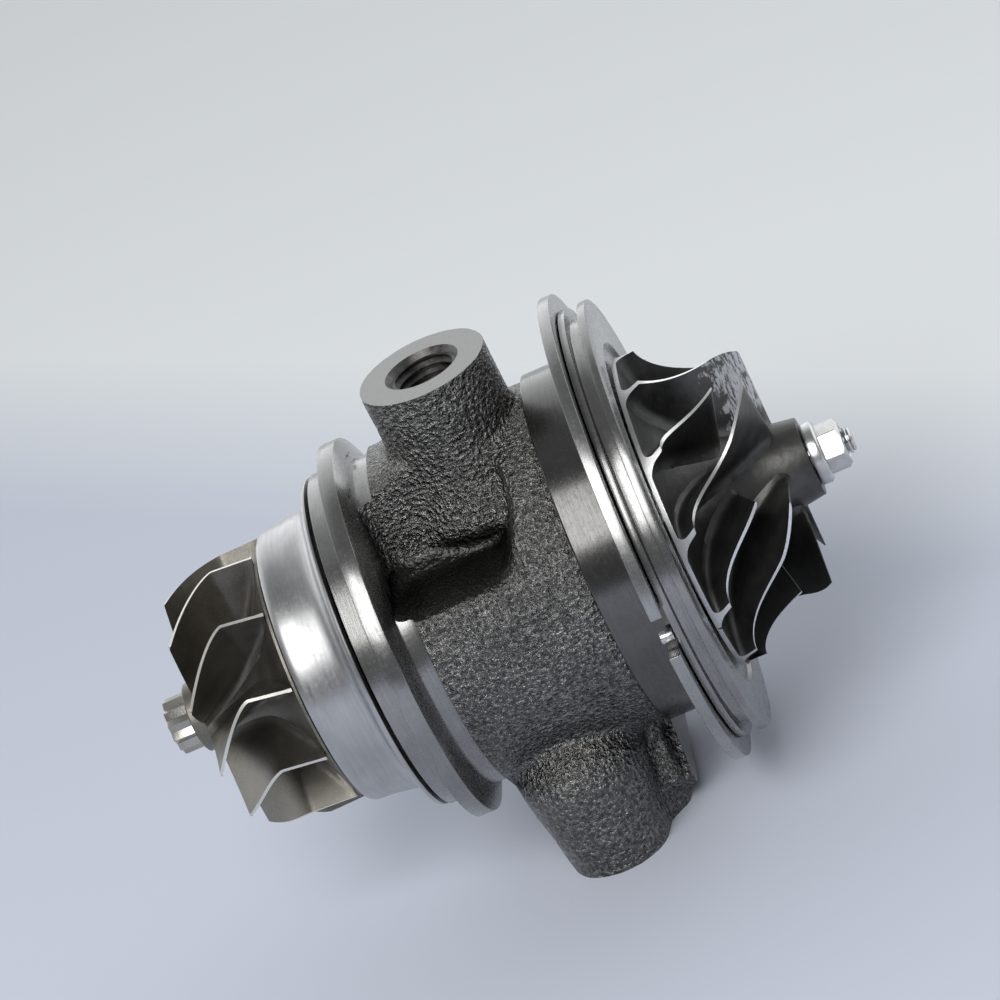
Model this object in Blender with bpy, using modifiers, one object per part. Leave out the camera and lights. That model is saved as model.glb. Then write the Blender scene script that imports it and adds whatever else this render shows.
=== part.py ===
"""Oil-cooled turbocharger cartridge: bearing housing, turbine wheel, shaft and compressor wheel.

Stations along the shaft ("x" below) are millimetres from the compressor flange face: plus is
toward the compressor inlet, minus toward the turbine. Heights are from the shaft's axis, and
angles about it run from +Y over +Z. The finished part stands on its oil drain flange at z = 0.
"""

import math

import bmesh
import bpy
from mathutils import Matrix, Vector

MM = 0.001
CLEARANCE = 0.3  # between pieces that touch on the real cartridge

# Compressor flange: disc, empty O-ring groove, lip, snap ring and spigot
FLANGE_RADIUS = 38.9
FLANGE_DISC_THICKNESS = 1.4
FLANGE_GROOVE_WIDTH = 2.2
FLANGE_GROOVE_RADIUS = 36.6
FLANGE_LIP_THICKNESS = 1.2
FACE_RECESS_RADIUS = 30.5
FACE_RECESS_DEPTH = 0.8
FLANGE_CHAMFER = 0.4
SPIGOT_RADIUS = 31.5
SPIGOT_LENGTH = 10.4
SNAP_RING_PLAY = 0.8  # radial, over the spigot
SNAP_RING_THICKNESS = 2.0
SNAP_RING_WIDTH = 9.9
SNAP_RING_GAP_DEG = 10.0
SNAP_RING_GAP_AT_DEG = 178.9
PIN_RADIUS = 1.1
PIN_RING_RADIUS = 37.6
PIN_AT_DEG = 181.6
PIN_STICKS_OUT = 2.6

# Casting between the two flanges
HOUSING_LENGTH = 54.6  # compressor flange face to turbine flange face
BARREL_INSET = 3.6  # from the turbine flange's rim
POCKET_DEPTH = 10.6
POCKET_START_ANGLE = 28.0
POCKET_FLOOR_END = 26.6
POCKET_SLOPE_END = 22.0
POCKET_SLOPE_RISE = 7.0
CAST_RADIUS = 2.0

# Turbine flange for the V-band clamp
RIM_RADIUS = 34.2
RIM_THICKNESS = 2.9
STEP_INSET = 3.9
STEP_THICKNESS = 3.5
CONE_DEPTH = 3.2
CONE_THICKNESS = 1.7
TOOL_FILLET_RADIUS = 4.2
SEAL_BOSS_RADIUS = 14.0
SEAL_BOSS_LENGTH = 7.0
SEAL_BOSS_CHAMFER = 1.0

# Oil inlet boss, its block, and the drain
BOSS_STATION = -27.8
BOSS_HEIGHT = 43.0
BOSS_RADIUS = 11.3
INLET_THREAD_RADIUS = 5.4
INLET_CHAMFER_RADIUS = 6.6
INLET_DEPTH = 13.0
INLET_POINT = 3.0
OIL_DRILL_RADIUS = 1.6
BOSS_FLARE = 3.1  # how much wider the foot is than the boss
BOSS_FLARE_DROP = 12.0  # from the boss's face to where it starts to widen
BOSS_EDGE_RISE = 4.1  # lower edge of the foot, over the pocket's floor
BLOCK_HALF_WIDTH = 10.2
BLOCK_DRAFT = 1.4
BLOCK_HEIGHT = 31.3
BLOCK_END = -26.0
DRAIN_STATION = -31.5
DRAIN_DROP = 44.6
DRAIN_HOLE_RADIUS = 8.0
DRAIN_HOLE_DEPTH = 15.0
DRAIN_CHAMBER_MARGIN = 0.8  # the cored hollow over the hole is a little wider
DRAIN_CHAMBER_ROOF = 3.3  # metal between the hollow and the journal bore
DRAIN_BOLT_SPACING = 36.0
DRAIN_BOLT_RADIUS = 3.4
DRAIN_BOLT_DEPTH = 15.0
LOBE_RADIUS = 9.0
LOBE_DRAFT = 2.4
LOBE_TOP_DROP = 18.0
LOBE_DOME = 9.0
NECK_HALF_WIDTH = 14.0
NECK_TOP_SHARE = 0.55  # of the width at the foot
NECK_MARGIN = 1.2
CHEEK_HALF_WIDTH = 17.0
CHEEK_TOP_HALF_WIDTH = 12.0
CHEEK_REACH = 3.0  # toward the turbine, from the drain's middle
FOOT_THICKNESS = 4.0
FOOT_INSET = 1.4
WEB_STATION = -15.7
WEB_THICKNESS = 3.3
WEB_RISE = 2.6  # its lower edge, over the drain face
WEB_HALF_WIDTH = 15.5
WEB_CORNER = 2.0

# Rotor and its bearings
JOURNAL_RADIUS = 4.0
STUB_RADIUS = 3.0
THREAD_RADIUS = 2.4
BUSH_WALL = 2.1
BUSH_LENGTH = 8.0
TURBINE_BUSH_STATION = -44.3
COMPRESSOR_BUSH_STATION = -26.0
CIRCLIP_THICKNESS = 1.0
CIRCLIP_BITE = 0.6
SEAL_HUB_RADIUS = 7.8
SEAL_HUB_PLAY = 0.7
SEAL_HUB_SETBACK = 2.0  # its end, behind the flange face
SEAL_RING_WIDTH = 1.0
SEAL_GROOVE_DEPTH = 1.2
TURBINE_SEAL_SETBACK = 4.6  # from the seal boss's end face
COMPRESSOR_SEAL_SETBACK = 0.8  # from the insert's step
SLINGER_WALL = 2.8  # housing left between the bush's end and the slinger hollow
SLINGER_WIDTH = 2.4
SLINGER_WAY_HALF_WIDTH = 4.0
OIL_CHAMBER_RADIUS = 12.0
OIL_CHAMBER_WIDTH = 4.0
SLEEVE_RADIUS = 6.8
SLEEVE_COLLAR = 1.8
SLEEVE_CONE = 1.6
THRUST_FACE_RADIUS = 8.5
THRUST_FACE_PLAY = 1.5
THRUST_RING_THICKNESS = 2.4
THRUST_PLATE_THICKNESS = 3.0
THRUST_PLATE_RADIUS = 18.4
THRUST_BORE_RADIUS = 5.3
THRUST_SEAT_STATION = -17.0
THRUST_DRAIN_HALF_WIDTH = 9.0
DEFLECTOR_THICKNESS = 1.0
DEFLECTOR_CUT_HALF_WIDTH = 6.0
DEFLECTOR_PLAY = 0.8

# Insert that closes the compressor side
INSERT_RADIUS = 22.0
INSERT_BORE_RADIUS = 7.5
INSERT_SHOULDER_STATION = -9.5
INSERT_RING_STATION = -3.0
INSERT_FACE_STEP = 2.6  # radial room for the retaining ring
SLINGER_HOLLOW_PLAY = 1.6
RETAINING_RING_THICKNESS = 1.0
RETAINING_RING_BITE = 1.2
RETAINING_RING_WIDTH = 3.0
RETAINING_RING_HALF_GAP = 4.0
O_RING_SECTION_RADIUS = 0.75
O_RING_GROOVE_WIDTH = 2.6
O_RING_GROOVE_DEPTH = 2.0

# Turbine wheel
TURBINE_BLADE_COUNT = 11
TURBINE_BLADE_AT_DEG = 57.5
TURBINE_BACK = -67.4
TURBINE_DISC_THICKNESS = 0.8
TURBINE_DISC_RADIUS = 23.3
TURBINE_TIP_RADIUS = 24.1
TURBINE_TIP_WIDTH = 7.3
TURBINE_EXIT_RADIUS = 21.2
TURBINE_TIP_RUN = 10.1  # along the shaft, from the tip's front corner to the outlet edge
TURBINE_LENGTH = 22.6
TURBINE_HUB_RUNOUT = 2.2  # bare hub past the blades
TURBINE_HUB_SWELL = 1.2
TURBINE_HUB_END_RADIUS = 6.2
TURBINE_TWIST_DEG = 27.0
TURBINE_BLADE_ROOT = 1.7
TURBINE_BLADE_TIP = 0.6
NOSE_LENGTH = 4.2
NOSE_RADIUS = 5.0
NOSE_FLUTE_SHARE = 0.86

# Heat shield cup
SHIELD_SHEET = 1.0
SHIELD_RIM_INSET = 0.1  # from the flange's step
SHIELD_RIM_WIDTH = 4.6
SHIELD_TAPER = 1.7
SHIELD_DEPTH = 11.1
SHIELD_SEAT_GAP = 0.7
SHIELD_HOLE_RADIUS = 9.5

# Compressor wheel
COMPRESSOR_BLADE_COUNT = 6
COMPRESSOR_BLADE_AT_DEG = 49.75
COMPRESSOR_BACK = 0.6
COMPRESSOR_DISC_THICKNESS = 0.9
COMPRESSOR_RADIUS = 28.0
COMPRESSOR_EXIT_WIDTH = 2.5
COMPRESSOR_INLET_RADIUS = 21.5
COMPRESSOR_INLET_RUN = 5.0  # level part of the blade tips
COMPRESSOR_HUB_RADIUS = 6.9
COMPRESSOR_LENGTH = 23.4
BLADE_LEADING_SETBACK = 4.6
SPLITTER_START = 0.285
COMPRESSOR_WRAP_DEG = 50.75
TRAILING_RAKE_DEG = 6.0
COMPRESSOR_BLADE_ROOT = 1.5
COMPRESSOR_BLADE_TIP = 0.6
BLADE_SINK = 0.6  # how far a blade's root runs into the hub

# Shaft nut
NUT_COLLAR_RADIUS = 5.45
NUT_COLLAR_THICKNESS = 2.1
NUT_ACROSS_FLATS = 7.6
NUT_HEX_HEIGHT = 3.8
SHAFT_STICKS_OUT = 1.5

# Facets round a turned shape
LARGE_FACET_COUNT = 42
MEDIUM_FACET_COUNT = 22
SMALL_FACET_COUNT = 16
SHEET_FACET_COUNT = 27
SMOOTH_BELOW_DEG = 35.0

# Stations that follow from the sizes above
LIP_BACK = -FLANGE_DISC_THICKNESS - FLANGE_GROOVE_WIDTH - FLANGE_LIP_THICKNESS
SPIGOT_END = LIP_BACK - SPIGOT_LENGTH
TURBINE_FACE = -HOUSING_LENGTH
BARREL_RADIUS = RIM_RADIUS - BARREL_INSET
POCKET_CORE_RADIUS = BARREL_RADIUS - POCKET_DEPTH
POCKET_FLOOR = BARREL_RADIUS * math.sin(math.radians(POCKET_START_ANGLE))
BOSS_EDGE = POCKET_FLOOR + BOSS_EDGE_RISE
STEP_RADIUS = RIM_RADIUS - STEP_INSET
CONE_FOOT_RADIUS = RIM_RADIUS - CONE_DEPTH
RIM_FRONT = TURBINE_FACE + STEP_THICKNESS
RIM_BACK = RIM_FRONT + RIM_THICKNESS
CONE_FOOT = RIM_BACK + CONE_THICKNESS
SEAL_BOSS_END = TURBINE_FACE - SEAL_BOSS_LENGTH
BUSH_BORE = JOURNAL_RADIUS + CLEARANCE
BUSH_RADIUS = BUSH_BORE + BUSH_WALL
HOUSING_BORE = BUSH_RADIUS + CLEARANCE
SEAL_BORE = SEAL_HUB_RADIUS + SEAL_HUB_PLAY
SEAL_GROOVE_WIDTH = SEAL_RING_WIDTH + 2 * CLEARANCE
SLINGER_FRONT = TURBINE_BUSH_STATION - BUSH_LENGTH / 2 - SLINGER_WALL
SLINGER_RADIUS = SEAL_BOSS_RADIUS - SEAL_BOSS_CHAMFER
WEB_DROP = DRAIN_DROP - WEB_RISE
WHEEL_BORE = STUB_RADIUS + CLEARANCE
THRUST_RECESS = THRUST_SEAT_STATION - THRUST_RING_THICKNESS - 2 * CLEARANCE
NOSE_END = TURBINE_BACK - TURBINE_LENGTH - NOSE_LENGTH
COMPRESSOR_NOSE = COMPRESSOR_BACK + COMPRESSOR_LENGTH
NUT_SEAT = COMPRESSOR_NOSE + CLEARANCE
NUT_END = NUT_SEAT + NUT_COLLAR_THICKNESS + NUT_HEX_HEIGHT
SHAFT_END = NUT_END + SHAFT_STICKS_OUT
X_MIDDLE = -(SHAFT_END + NOSE_END) / 2
AXIS_PLACE = Vector((X_MIDDLE, 0, DRAIN_DROP)) * MM
ALONG_X = (0, math.pi / 2, 0)


def clear_scene():
    for obj in list(bpy.data.objects):
        bpy.data.objects.remove(obj)


def new_collection(name, hidden=False):
    made = bpy.data.collections.new(name)
    bpy.context.scene.collection.children.link(made)
    made.hide_render = hidden
    return made


clear_scene()
PARTS = new_collection("turbo_cartridge")
CUTTERS = new_collection("cutters", hidden=True)


def material(name, colour, roughness, metallic):
    made = bpy.data.materials.new(name)
    made.use_nodes = True
    shader = made.node_tree.nodes["Principled BSDF"]
    shader.inputs["Base Color"].default_value = (*colour, 1)
    shader.inputs["Roughness"].default_value = roughness
    shader.inputs["Metallic"].default_value = metallic
    return made


def add_object(name, mesh, look=None):
    """A visible piece if it has a look, and a cutter or a shape to be joined if it has none."""
    obj = bpy.data.objects.new(name, mesh)
    if look:
        PARTS.objects.link(obj)
        mesh.materials.append(look)
    else:
        CUTTERS.objects.link(obj)
        obj.hide_render = True
        obj.display_type = "WIRE"
    obj.location = AXIS_PLACE
    return obj


def turned(name, profile, steps, look=None, closed=True):
    """Turns (station, radius) points about the shaft's axis.

    The outer side runs from the compressor end to the turbine end, and a bore's side back.
    """
    mesh = bpy.data.meshes.new(name)
    points = [(radius * MM, 0, station * MM) for station, radius in profile]
    edges = [(i, i + 1) for i in range(len(points) - 1)]
    if closed:
        edges.append((len(points) - 1, 0))
    mesh.from_pydata(points, edges, [])
    obj = add_object(name, mesh, look)
    obj.rotation_euler = ALONG_X
    screw = obj.modifiers.new("Turn", "SCREW")
    screw.axis = "Z"
    screw.angle = 2 * math.pi
    screw.steps = steps
    screw.render_steps = steps
    screw.use_merge_vertices = True
    screw.merge_threshold = 0.00001
    screw.use_smooth_shade = True
    return obj


def upright(obj, station, y=0.0, height=0.0):
    """Turns a shape's axis from along the shaft to straight up, at a place on the housing."""
    obj.rotation_euler = (0, 0, 0)
    obj.location = AXIS_PLACE + Vector((station, y, height)) * MM
    return obj


def ring(name, front, back, outer, inner, steps, look):
    profile = [(front, outer), (back, outer), (back, inner), (front, inner)]
    return turned(name, profile, steps, look)


def rod(name, front, back, radius, steps, look=None):
    profile = [(front, 0), (front, radius), (back, radius), (back, 0)]
    return turned(name, profile, steps, look, closed=False)


def box(name, low, high, rounding=0.0):
    bm = bmesh.new()
    size = Vector(high) - Vector(low)
    middle = (Vector(high) + Vector(low)) / 2
    place = Matrix.Translation(middle * MM) @ Matrix.Diagonal((*(size * MM), 1))
    bmesh.ops.create_cube(bm, size=1, matrix=place)
    if rounding:
        bmesh.ops.bevel(
            bm, geom=bm.edges[:], offset=rounding * MM, segments=2, profile=0.5,
            affect="EDGES", clamp_overlap=True,
        )
    mesh = bpy.data.meshes.new(name)
    bm.to_mesh(mesh)
    bm.free()
    return add_object(name, mesh)


def prism(name, outline, start, run, rounding=0.0):
    """Extrudes a flat outline by a vector, then rounds the corners that run along it."""
    bm = bmesh.new()
    face = bm.faces.new([bm.verts.new((Vector(p) + Vector(start)) * MM) for p in outline])
    grown = bmesh.ops.extrude_face_region(bm, geom=[face])["geom"]
    tops = [item for item in grown if isinstance(item, bmesh.types.BMVert)]
    bmesh.ops.translate(bm, verts=tops, vec=Vector(run) * MM)
    bmesh.ops.recalc_face_normals(bm, faces=bm.faces[:])
    if rounding:
        along = Vector(run).normalized()
        sides = [
            edge for edge in bm.edges
            if abs((edge.verts[0].co - edge.verts[1].co).normalized().dot(along)) > 0.999
        ]
        bmesh.ops.bevel(
            bm, geom=sides, offset=rounding * MM, segments=2, profile=0.5,
            affect="EDGES", clamp_overlap=True,
        )
    mesh = bpy.data.meshes.new(name)
    bm.to_mesh(mesh)
    bm.free()
    return add_object(name, mesh)


def drill(name, start, end, radius, steps=8):
    """A straight hole between two points given from the shaft's axis."""
    along = (Vector(end) - Vector(start)) * MM
    bm = bmesh.new()
    bmesh.ops.create_cone(
        bm, cap_ends=True, segments=steps, radius1=radius * MM, radius2=radius * MM,
        depth=along.length,
    )
    turn = Vector((0, 0, 1)).rotation_difference(along).to_matrix().to_4x4()
    middle = (Vector(start) + Vector(end)) / 2 * MM
    bmesh.ops.transform(bm, matrix=Matrix.Translation(middle) @ turn, verts=bm.verts[:])
    mesh = bpy.data.meshes.new(name)
    bm.to_mesh(mesh)
    bm.free()
    return add_object(name, mesh)


def combine(obj, operation, *others):
    for other in others:
        step = obj.modifiers.new(other.name, "BOOLEAN")
        step.operation = operation
        step.solver = "EXACT"
        step.object = other


def arc(centre, radius, start_deg, end_deg, count):
    """Points of an arc in (station, radius) coordinates."""
    points = []
    for i in range(count + 1):
        angle = math.radians(start_deg + (end_deg - start_deg) * i / count)
        points.append((centre[0] + radius * math.cos(angle), centre[1] + radius * math.sin(angle)))
    return points


def angle_shading():
    """Node group that shades a finished piece smooth and keeps its steep edges crisp."""
    group = bpy.data.node_groups.new("angle_shading", "GeometryNodeTree")
    group.interface.new_socket("Geometry", in_out="INPUT", socket_type="NodeSocketGeometry")
    group.interface.new_socket("Geometry", in_out="OUTPUT", socket_type="NodeSocketGeometry")
    start = group.nodes.new("NodeGroupInput")
    end = group.nodes.new("NodeGroupOutput")
    angle = group.nodes.new("GeometryNodeInputMeshEdgeAngle")
    gentle = group.nodes.new("FunctionNodeCompare")
    gentle.operation = "LESS_THAN"
    gentle.inputs[1].default_value = math.radians(SMOOTH_BELOW_DEG)
    faces = group.nodes.new("GeometryNodeSetShadeSmooth")
    edges = group.nodes.new("GeometryNodeSetShadeSmooth")
    edges.domain = "EDGE"
    group.links.new(angle.outputs[0], gentle.inputs[0])
    group.links.new(gentle.outputs[0], edges.inputs["Shade Smooth"])
    group.links.new(start.outputs[0], faces.inputs["Geometry"])
    group.links.new(faces.outputs[0], edges.inputs["Geometry"])
    group.links.new(edges.outputs[0], end.inputs[0])
    return group


# Looks, from the photograph
CAST_IRON = material("cast_iron", (0.055, 0.052, 0.049), 0.5, 0.85)
SHEET_STEEL = material("pressed_sheet", (0.5, 0.5, 0.51), 0.33, 1.0)
TURBINE_ALLOY = material("turbine_alloy", (0.16, 0.148, 0.13), 0.42, 0.9)
CAST_ALUMINIUM = material("cast_aluminium", (0.09, 0.089, 0.087), 0.45, 0.9)
PLATED_STEEL = material("plated_steel", (0.62, 0.63, 0.62), 0.2, 1.0)
GROUND_STEEL = material("ground_steel", (0.55, 0.55, 0.55), 0.18, 1.0)
BUSH_BRONZE = material("bush_bronze", (0.55, 0.36, 0.16), 0.3, 1.0)
SPRING_STEEL = material("spring_steel", (0.12, 0.12, 0.125), 0.35, 0.9)
INSERT_ALUMINIUM = material("insert_aluminium", (0.5, 0.51, 0.52), 0.35, 1.0)
SEAL_RUBBER = material("seal_rubber", (0.02, 0.02, 0.02), 0.7, 0.0)


def housing_outside():
    """The turned outline: compressor flange, spigot, barrel, turbine flange and seal hub."""
    groove_front = -FLANGE_DISC_THICKNESS
    groove_back = groove_front - FLANGE_GROOVE_WIDTH
    edge = FLANGE_CHAMFER
    return [
        (-FACE_RECESS_DEPTH, 0),
        (-FACE_RECESS_DEPTH, FACE_RECESS_RADIUS),
        (0, FACE_RECESS_RADIUS + edge),
        (0, FLANGE_RADIUS - edge),
        (-edge, FLANGE_RADIUS),
        (groove_front, FLANGE_RADIUS),
        (groove_front, FLANGE_GROOVE_RADIUS),
        (groove_back, FLANGE_GROOVE_RADIUS),
        (groove_back, FLANGE_RADIUS),
        (LIP_BACK, FLANGE_RADIUS),
        (LIP_BACK, SPIGOT_RADIUS),
        (SPIGOT_END, SPIGOT_RADIUS),
        (SPIGOT_END - edge, BARREL_RADIUS),
        (CONE_FOOT + edge, BARREL_RADIUS - edge),
        (CONE_FOOT, CONE_FOOT_RADIUS - edge),
        (RIM_BACK, RIM_RADIUS),
        (RIM_FRONT, RIM_RADIUS),
        (RIM_FRONT, STEP_RADIUS),
        (TURBINE_FACE, STEP_RADIUS),
        (TURBINE_FACE, SEAL_BOSS_RADIUS + CAST_RADIUS),
        (TURBINE_FACE - CAST_RADIUS, SEAL_BOSS_RADIUS),
        (SEAL_BOSS_END, SEAL_BOSS_RADIUS - SEAL_BOSS_CHAMFER),
        (SEAL_BOSS_END, 0),
    ]


def pocket_cutter():
    """The hollow on both sides of the oil boss, down to the round core of the casting."""
    top = 2 * BARREL_RADIUS
    outline = [
        (RIM_FRONT, 0, POCKET_FLOOR),
        (-POCKET_FLOOR_END, 0, POCKET_FLOOR),
        (-POCKET_SLOPE_END, 0, POCKET_FLOOR + POCKET_SLOPE_RISE),
        (-POCKET_SLOPE_END, 0, top),
        (RIM_FRONT, 0, top),
    ]
    reach = 1.5 * BARREL_RADIUS
    hollow = prism("pocket", outline, (0, -reach, 0), (0, 2 * reach, 0), CAST_RADIUS * 1.5)
    fillet = arc(
        (CONE_FOOT + TOOL_FILLET_RADIUS, POCKET_CORE_RADIUS + TOOL_FILLET_RADIUS),
        TOOL_FILLET_RADIUS, 270, 180, 4,
    )
    core = turned(
        "pocket_core",
        [(0, 0), (0, POCKET_CORE_RADIUS), *fillet, (CONE_FOOT, CONE_FOOT_RADIUS - 1),
         (RIM_BACK, RIM_RADIUS + 2), (TURBINE_FACE, RIM_RADIUS + 2), (TURBINE_FACE, 0)],
        LARGE_FACET_COUNT, closed=False,
    )
    combine(hollow, "DIFFERENCE", core)
    return hollow


def oil_boss():
    """Round boss on top of the core, whose foot flares out to an edge over the pocket's floor."""
    foot = POCKET_FLOOR - CAST_RADIUS
    start = BOSS_HEIGHT - BOSS_FLARE_DROP
    wide = BOSS_RADIUS + BOSS_FLARE
    edge = FLANGE_CHAMFER
    obj = turned(
        "oil_boss",
        [(BOSS_HEIGHT, 0), (BOSS_HEIGHT, BOSS_RADIUS - edge), (BOSS_HEIGHT - edge, BOSS_RADIUS),
         (start, BOSS_RADIUS + edge), ((start + BOSS_EDGE) / 2, BOSS_RADIUS + BOSS_FLARE * 0.4),
         (BOSS_EDGE + edge, wide), (BOSS_EDGE - edge, wide - edge), (foot, wide - edge), (foot, 0)],
        MEDIUM_FACET_COUNT, closed=False,
    )
    return upright(obj, BOSS_STATION)


def oil_block():
    """Block with drafted sides between the boss and the turbine flange."""
    front = CONE_FOOT - CONE_THICKNESS / 2
    wide = BLOCK_HALF_WIDTH
    narrow = wide - BLOCK_DRAFT
    outline = [
        (0, -wide, POCKET_CORE_RADIUS / 2), (0, wide, POCKET_CORE_RADIUS / 2), (0, wide, BOSS_EDGE),
        (0, narrow, BLOCK_HEIGHT), (0, -narrow, BLOCK_HEIGHT), (0, -wide, BOSS_EDGE),
    ]
    return prism("oil_block", outline, (front, 0, 0), (BLOCK_END - front, 0, 0), CAST_RADIUS / 2)


def flange_tool_path():
    """The ring that the lathe tool clears behind the turbine flange, into the cast block."""
    top = CONE_FOOT_RADIUS + BLOCK_HEIGHT
    off = CLEARANCE / 2
    centre = (CONE_FOOT + TOOL_FILLET_RADIUS, CONE_FOOT_RADIUS + TOOL_FILLET_RADIUS)
    sweep = arc(centre, TOOL_FILLET_RADIUS, 0, -90, 4)
    return turned(
        "flange_tool_path",
        [(centre[0] + TOOL_FILLET_RADIUS, top), (RIM_FRONT, top), (RIM_FRONT, RIM_RADIUS + off * 3),
         (RIM_BACK + off, RIM_RADIUS + off), (CONE_FOOT + off, CONE_FOOT_RADIUS)]
        + sweep[::-1],
        LARGE_FACET_COUNT,
    )


def drain_lobe(side):
    """Bolt lobe of the drain flange: a drafted post with a domed top that runs into the barrel."""
    reach = LOBE_RADIUS + LOBE_DRAFT
    base = -LOBE_TOP_DROP - LOBE_DOME
    dome = []
    for degrees in (90, 60, 30):
        angle = math.radians(degrees)
        dome.append((base + LOBE_DOME * math.sin(angle), reach * math.cos(angle)))
    edge = CAST_RADIUS / 4
    obj = turned(
        f"drain_lobe_{side:+d}",
        dome + [(base, reach), (edge - DRAIN_DROP, LOBE_RADIUS), (-DRAIN_DROP, LOBE_RADIUS - edge),
                (-DRAIN_DROP, 0)],
        SMALL_FACET_COUNT, closed=False,
    )
    return upright(obj, DRAIN_STATION, side * DRAIN_BOLT_SPACING / 2)


def drain_neck():
    """Body of the drain between the lobes, spread at its foot and running to the web."""
    top = CAST_RADIUS / 2 - POCKET_CORE_RADIUS
    half = NECK_HALF_WIDTH
    narrow = half * NECK_TOP_SHARE
    outline = [(0, -half, -DRAIN_DROP), (0, half, -DRAIN_DROP), (0, narrow, top), (0, -narrow, top)]
    front = DRAIN_STATION - LOBE_RADIUS - NECK_MARGIN
    back = WEB_STATION - WEB_THICKNESS - NECK_MARGIN
    return prism("drain_neck", outline, (front, 0, 0), (back - front, 0, 0), CAST_RADIUS)


def drain_cheeks():
    """Metal that fills the corner between the lobes and the web."""
    front = DRAIN_STATION - CHEEK_REACH
    back = WEB_STATION - WEB_THICKNESS / 2
    low = FOOT_THICKNESS - DRAIN_DROP
    top = -LOBE_TOP_DROP - LOBE_DOME / 2
    wide = CHEEK_HALF_WIDTH
    web = WEB_HALF_WIDTH - WEB_CORNER
    narrow = CHEEK_TOP_HALF_WIDTH
    outline = [(0, -web, low - 1), (0, web, low - 1), (0, wide, low + CAST_RADIUS), (0, narrow, top),
               (0, -narrow, top), (0, -wide, low + CAST_RADIUS)]
    return prism("drain_cheeks", outline, (front, 0, 0), (back - front, 0, 0))


def drain_web():
    """Web with a flat wall toward the compressor, which carries the drain to the spigot."""
    half = WEB_HALF_WIDTH
    narrow = half * NECK_TOP_SHARE
    side = WEB_CORNER - WEB_DROP
    top = WEB_CORNER - SPIGOT_RADIUS
    outline = [
        (0, -half, side), (0, WEB_CORNER - half, -WEB_DROP), (0, half - WEB_CORNER, -WEB_DROP),
        (0, half, side), (0, narrow, top), (0, -narrow, top),
    ]
    return prism("drain_web", outline, (WEB_STATION - WEB_THICKNESS, 0, 0), (WEB_THICKNESS, 0, 0))


def drain_foot():
    """Gasket plate that joins the two lobes and runs out toward the web."""
    half = DRAIN_BOLT_SPACING / 2 - FOOT_INSET
    front = DRAIN_STATION - LOBE_RADIUS + CLEARANCE
    back = DRAIN_STATION + LOBE_RADIUS + CAST_RADIUS / 2
    web = WEB_STATION - WEB_THICKNESS + CAST_RADIUS / 2
    narrow = WEB_HALF_WIDTH - WEB_CORNER
    outline = [
        (front, -half, 0), (front, half, 0), (back, half, 0), (web, narrow, 0),
        (web, -narrow, 0), (back, -half, 0),
    ]
    return prism("drain_foot", outline, (0, 0, -DRAIN_DROP), (0, 0, FOOT_THICKNESS))


def bore_cutter():
    """Seal bore, slinger chamber, journal bore with circlip grooves, and thrust recess."""
    groove = CIRCLIP_THICKNESS / 2 + CLEARANCE
    deep = HOUSING_BORE + CIRCLIP_BITE + CLEARANCE
    outer_side = []
    for station in circlip_stations()[::-1]:
        outer_side += [
            (station + groove, HOUSING_BORE), (station + groove, deep),
            (station - groove, deep), (station - groove, HOUSING_BORE),
        ]
    middle = (TURBINE_BUSH_STATION + COMPRESSOR_BUSH_STATION) / 2
    near = middle + OIL_CHAMBER_WIDTH / 2
    far = middle - OIL_CHAMBER_WIDTH / 2
    chamber = [
        (near, HOUSING_BORE), (near, OIL_CHAMBER_RADIUS), (far, OIL_CHAMBER_RADIUS),
        (far, HOUSING_BORE),
    ]
    thrust = THRUST_FACE_RADIUS + THRUST_FACE_PLAY
    slinger_back = SLINGER_FRONT - SLINGER_WIDTH
    return turned(
        "bore_cutter",
        [(THRUST_SEAT_STATION + 1, 0), (THRUST_SEAT_STATION + 1, thrust),
         (THRUST_RECESS, thrust), (THRUST_RECESS, HOUSING_BORE)]
        + outer_side[:4] + chamber + outer_side[4:]
        + [(SLINGER_FRONT, HOUSING_BORE), (SLINGER_FRONT, SLINGER_RADIUS),
           (slinger_back, SLINGER_RADIUS), (slinger_back, SEAL_BORE),
           (SEAL_BOSS_END - 1, SEAL_BORE), (SEAL_BOSS_END - 1, 0)],
        MEDIUM_FACET_COUNT, closed=False,
    )


def insert_pocket_cutter():
    """Stepped bore for the insert, its retaining ring and the thrust plate."""
    groove_radius = INSERT_RADIUS + RETAINING_RING_BITE + CLEARANCE
    groove_front = INSERT_RING_STATION + RETAINING_RING_THICKNESS + 2 * CLEARANCE
    return turned(
        "insert_pocket",
        [(1, 0), (1, INSERT_RADIUS + CLEARANCE),
         (groove_front, INSERT_RADIUS + CLEARANCE),
         (groove_front, groove_radius),
         (INSERT_RING_STATION, groove_radius),
         (INSERT_RING_STATION, INSERT_RADIUS + CLEARANCE),
         (INSERT_SHOULDER_STATION, INSERT_RADIUS + CLEARANCE),
         (INSERT_SHOULDER_STATION, THRUST_PLATE_RADIUS + CLEARANCE),
         (THRUST_SEAT_STATION, THRUST_PLATE_RADIUS + CLEARANCE),
         (THRUST_SEAT_STATION, 0)],
        MEDIUM_FACET_COUNT, closed=False,
    )


def inlet_cutter():
    """Threaded oil inlet with its chamfer and the drill point."""
    chamfer = INLET_CHAMFER_RADIUS - INLET_THREAD_RADIUS
    bottom = BOSS_HEIGHT - INLET_DEPTH
    obj = turned(
        "oil_inlet",
        [(BOSS_HEIGHT + 1, 0), (BOSS_HEIGHT + 1, INLET_CHAMFER_RADIUS),
         (BOSS_HEIGHT, INLET_CHAMFER_RADIUS), (BOSS_HEIGHT - chamfer, INLET_THREAD_RADIUS),
         (bottom, INLET_THREAD_RADIUS), (bottom - INLET_POINT, 0)],
        SMALL_FACET_COUNT, closed=False,
    )
    return upright(obj, BOSS_STATION)


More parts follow.
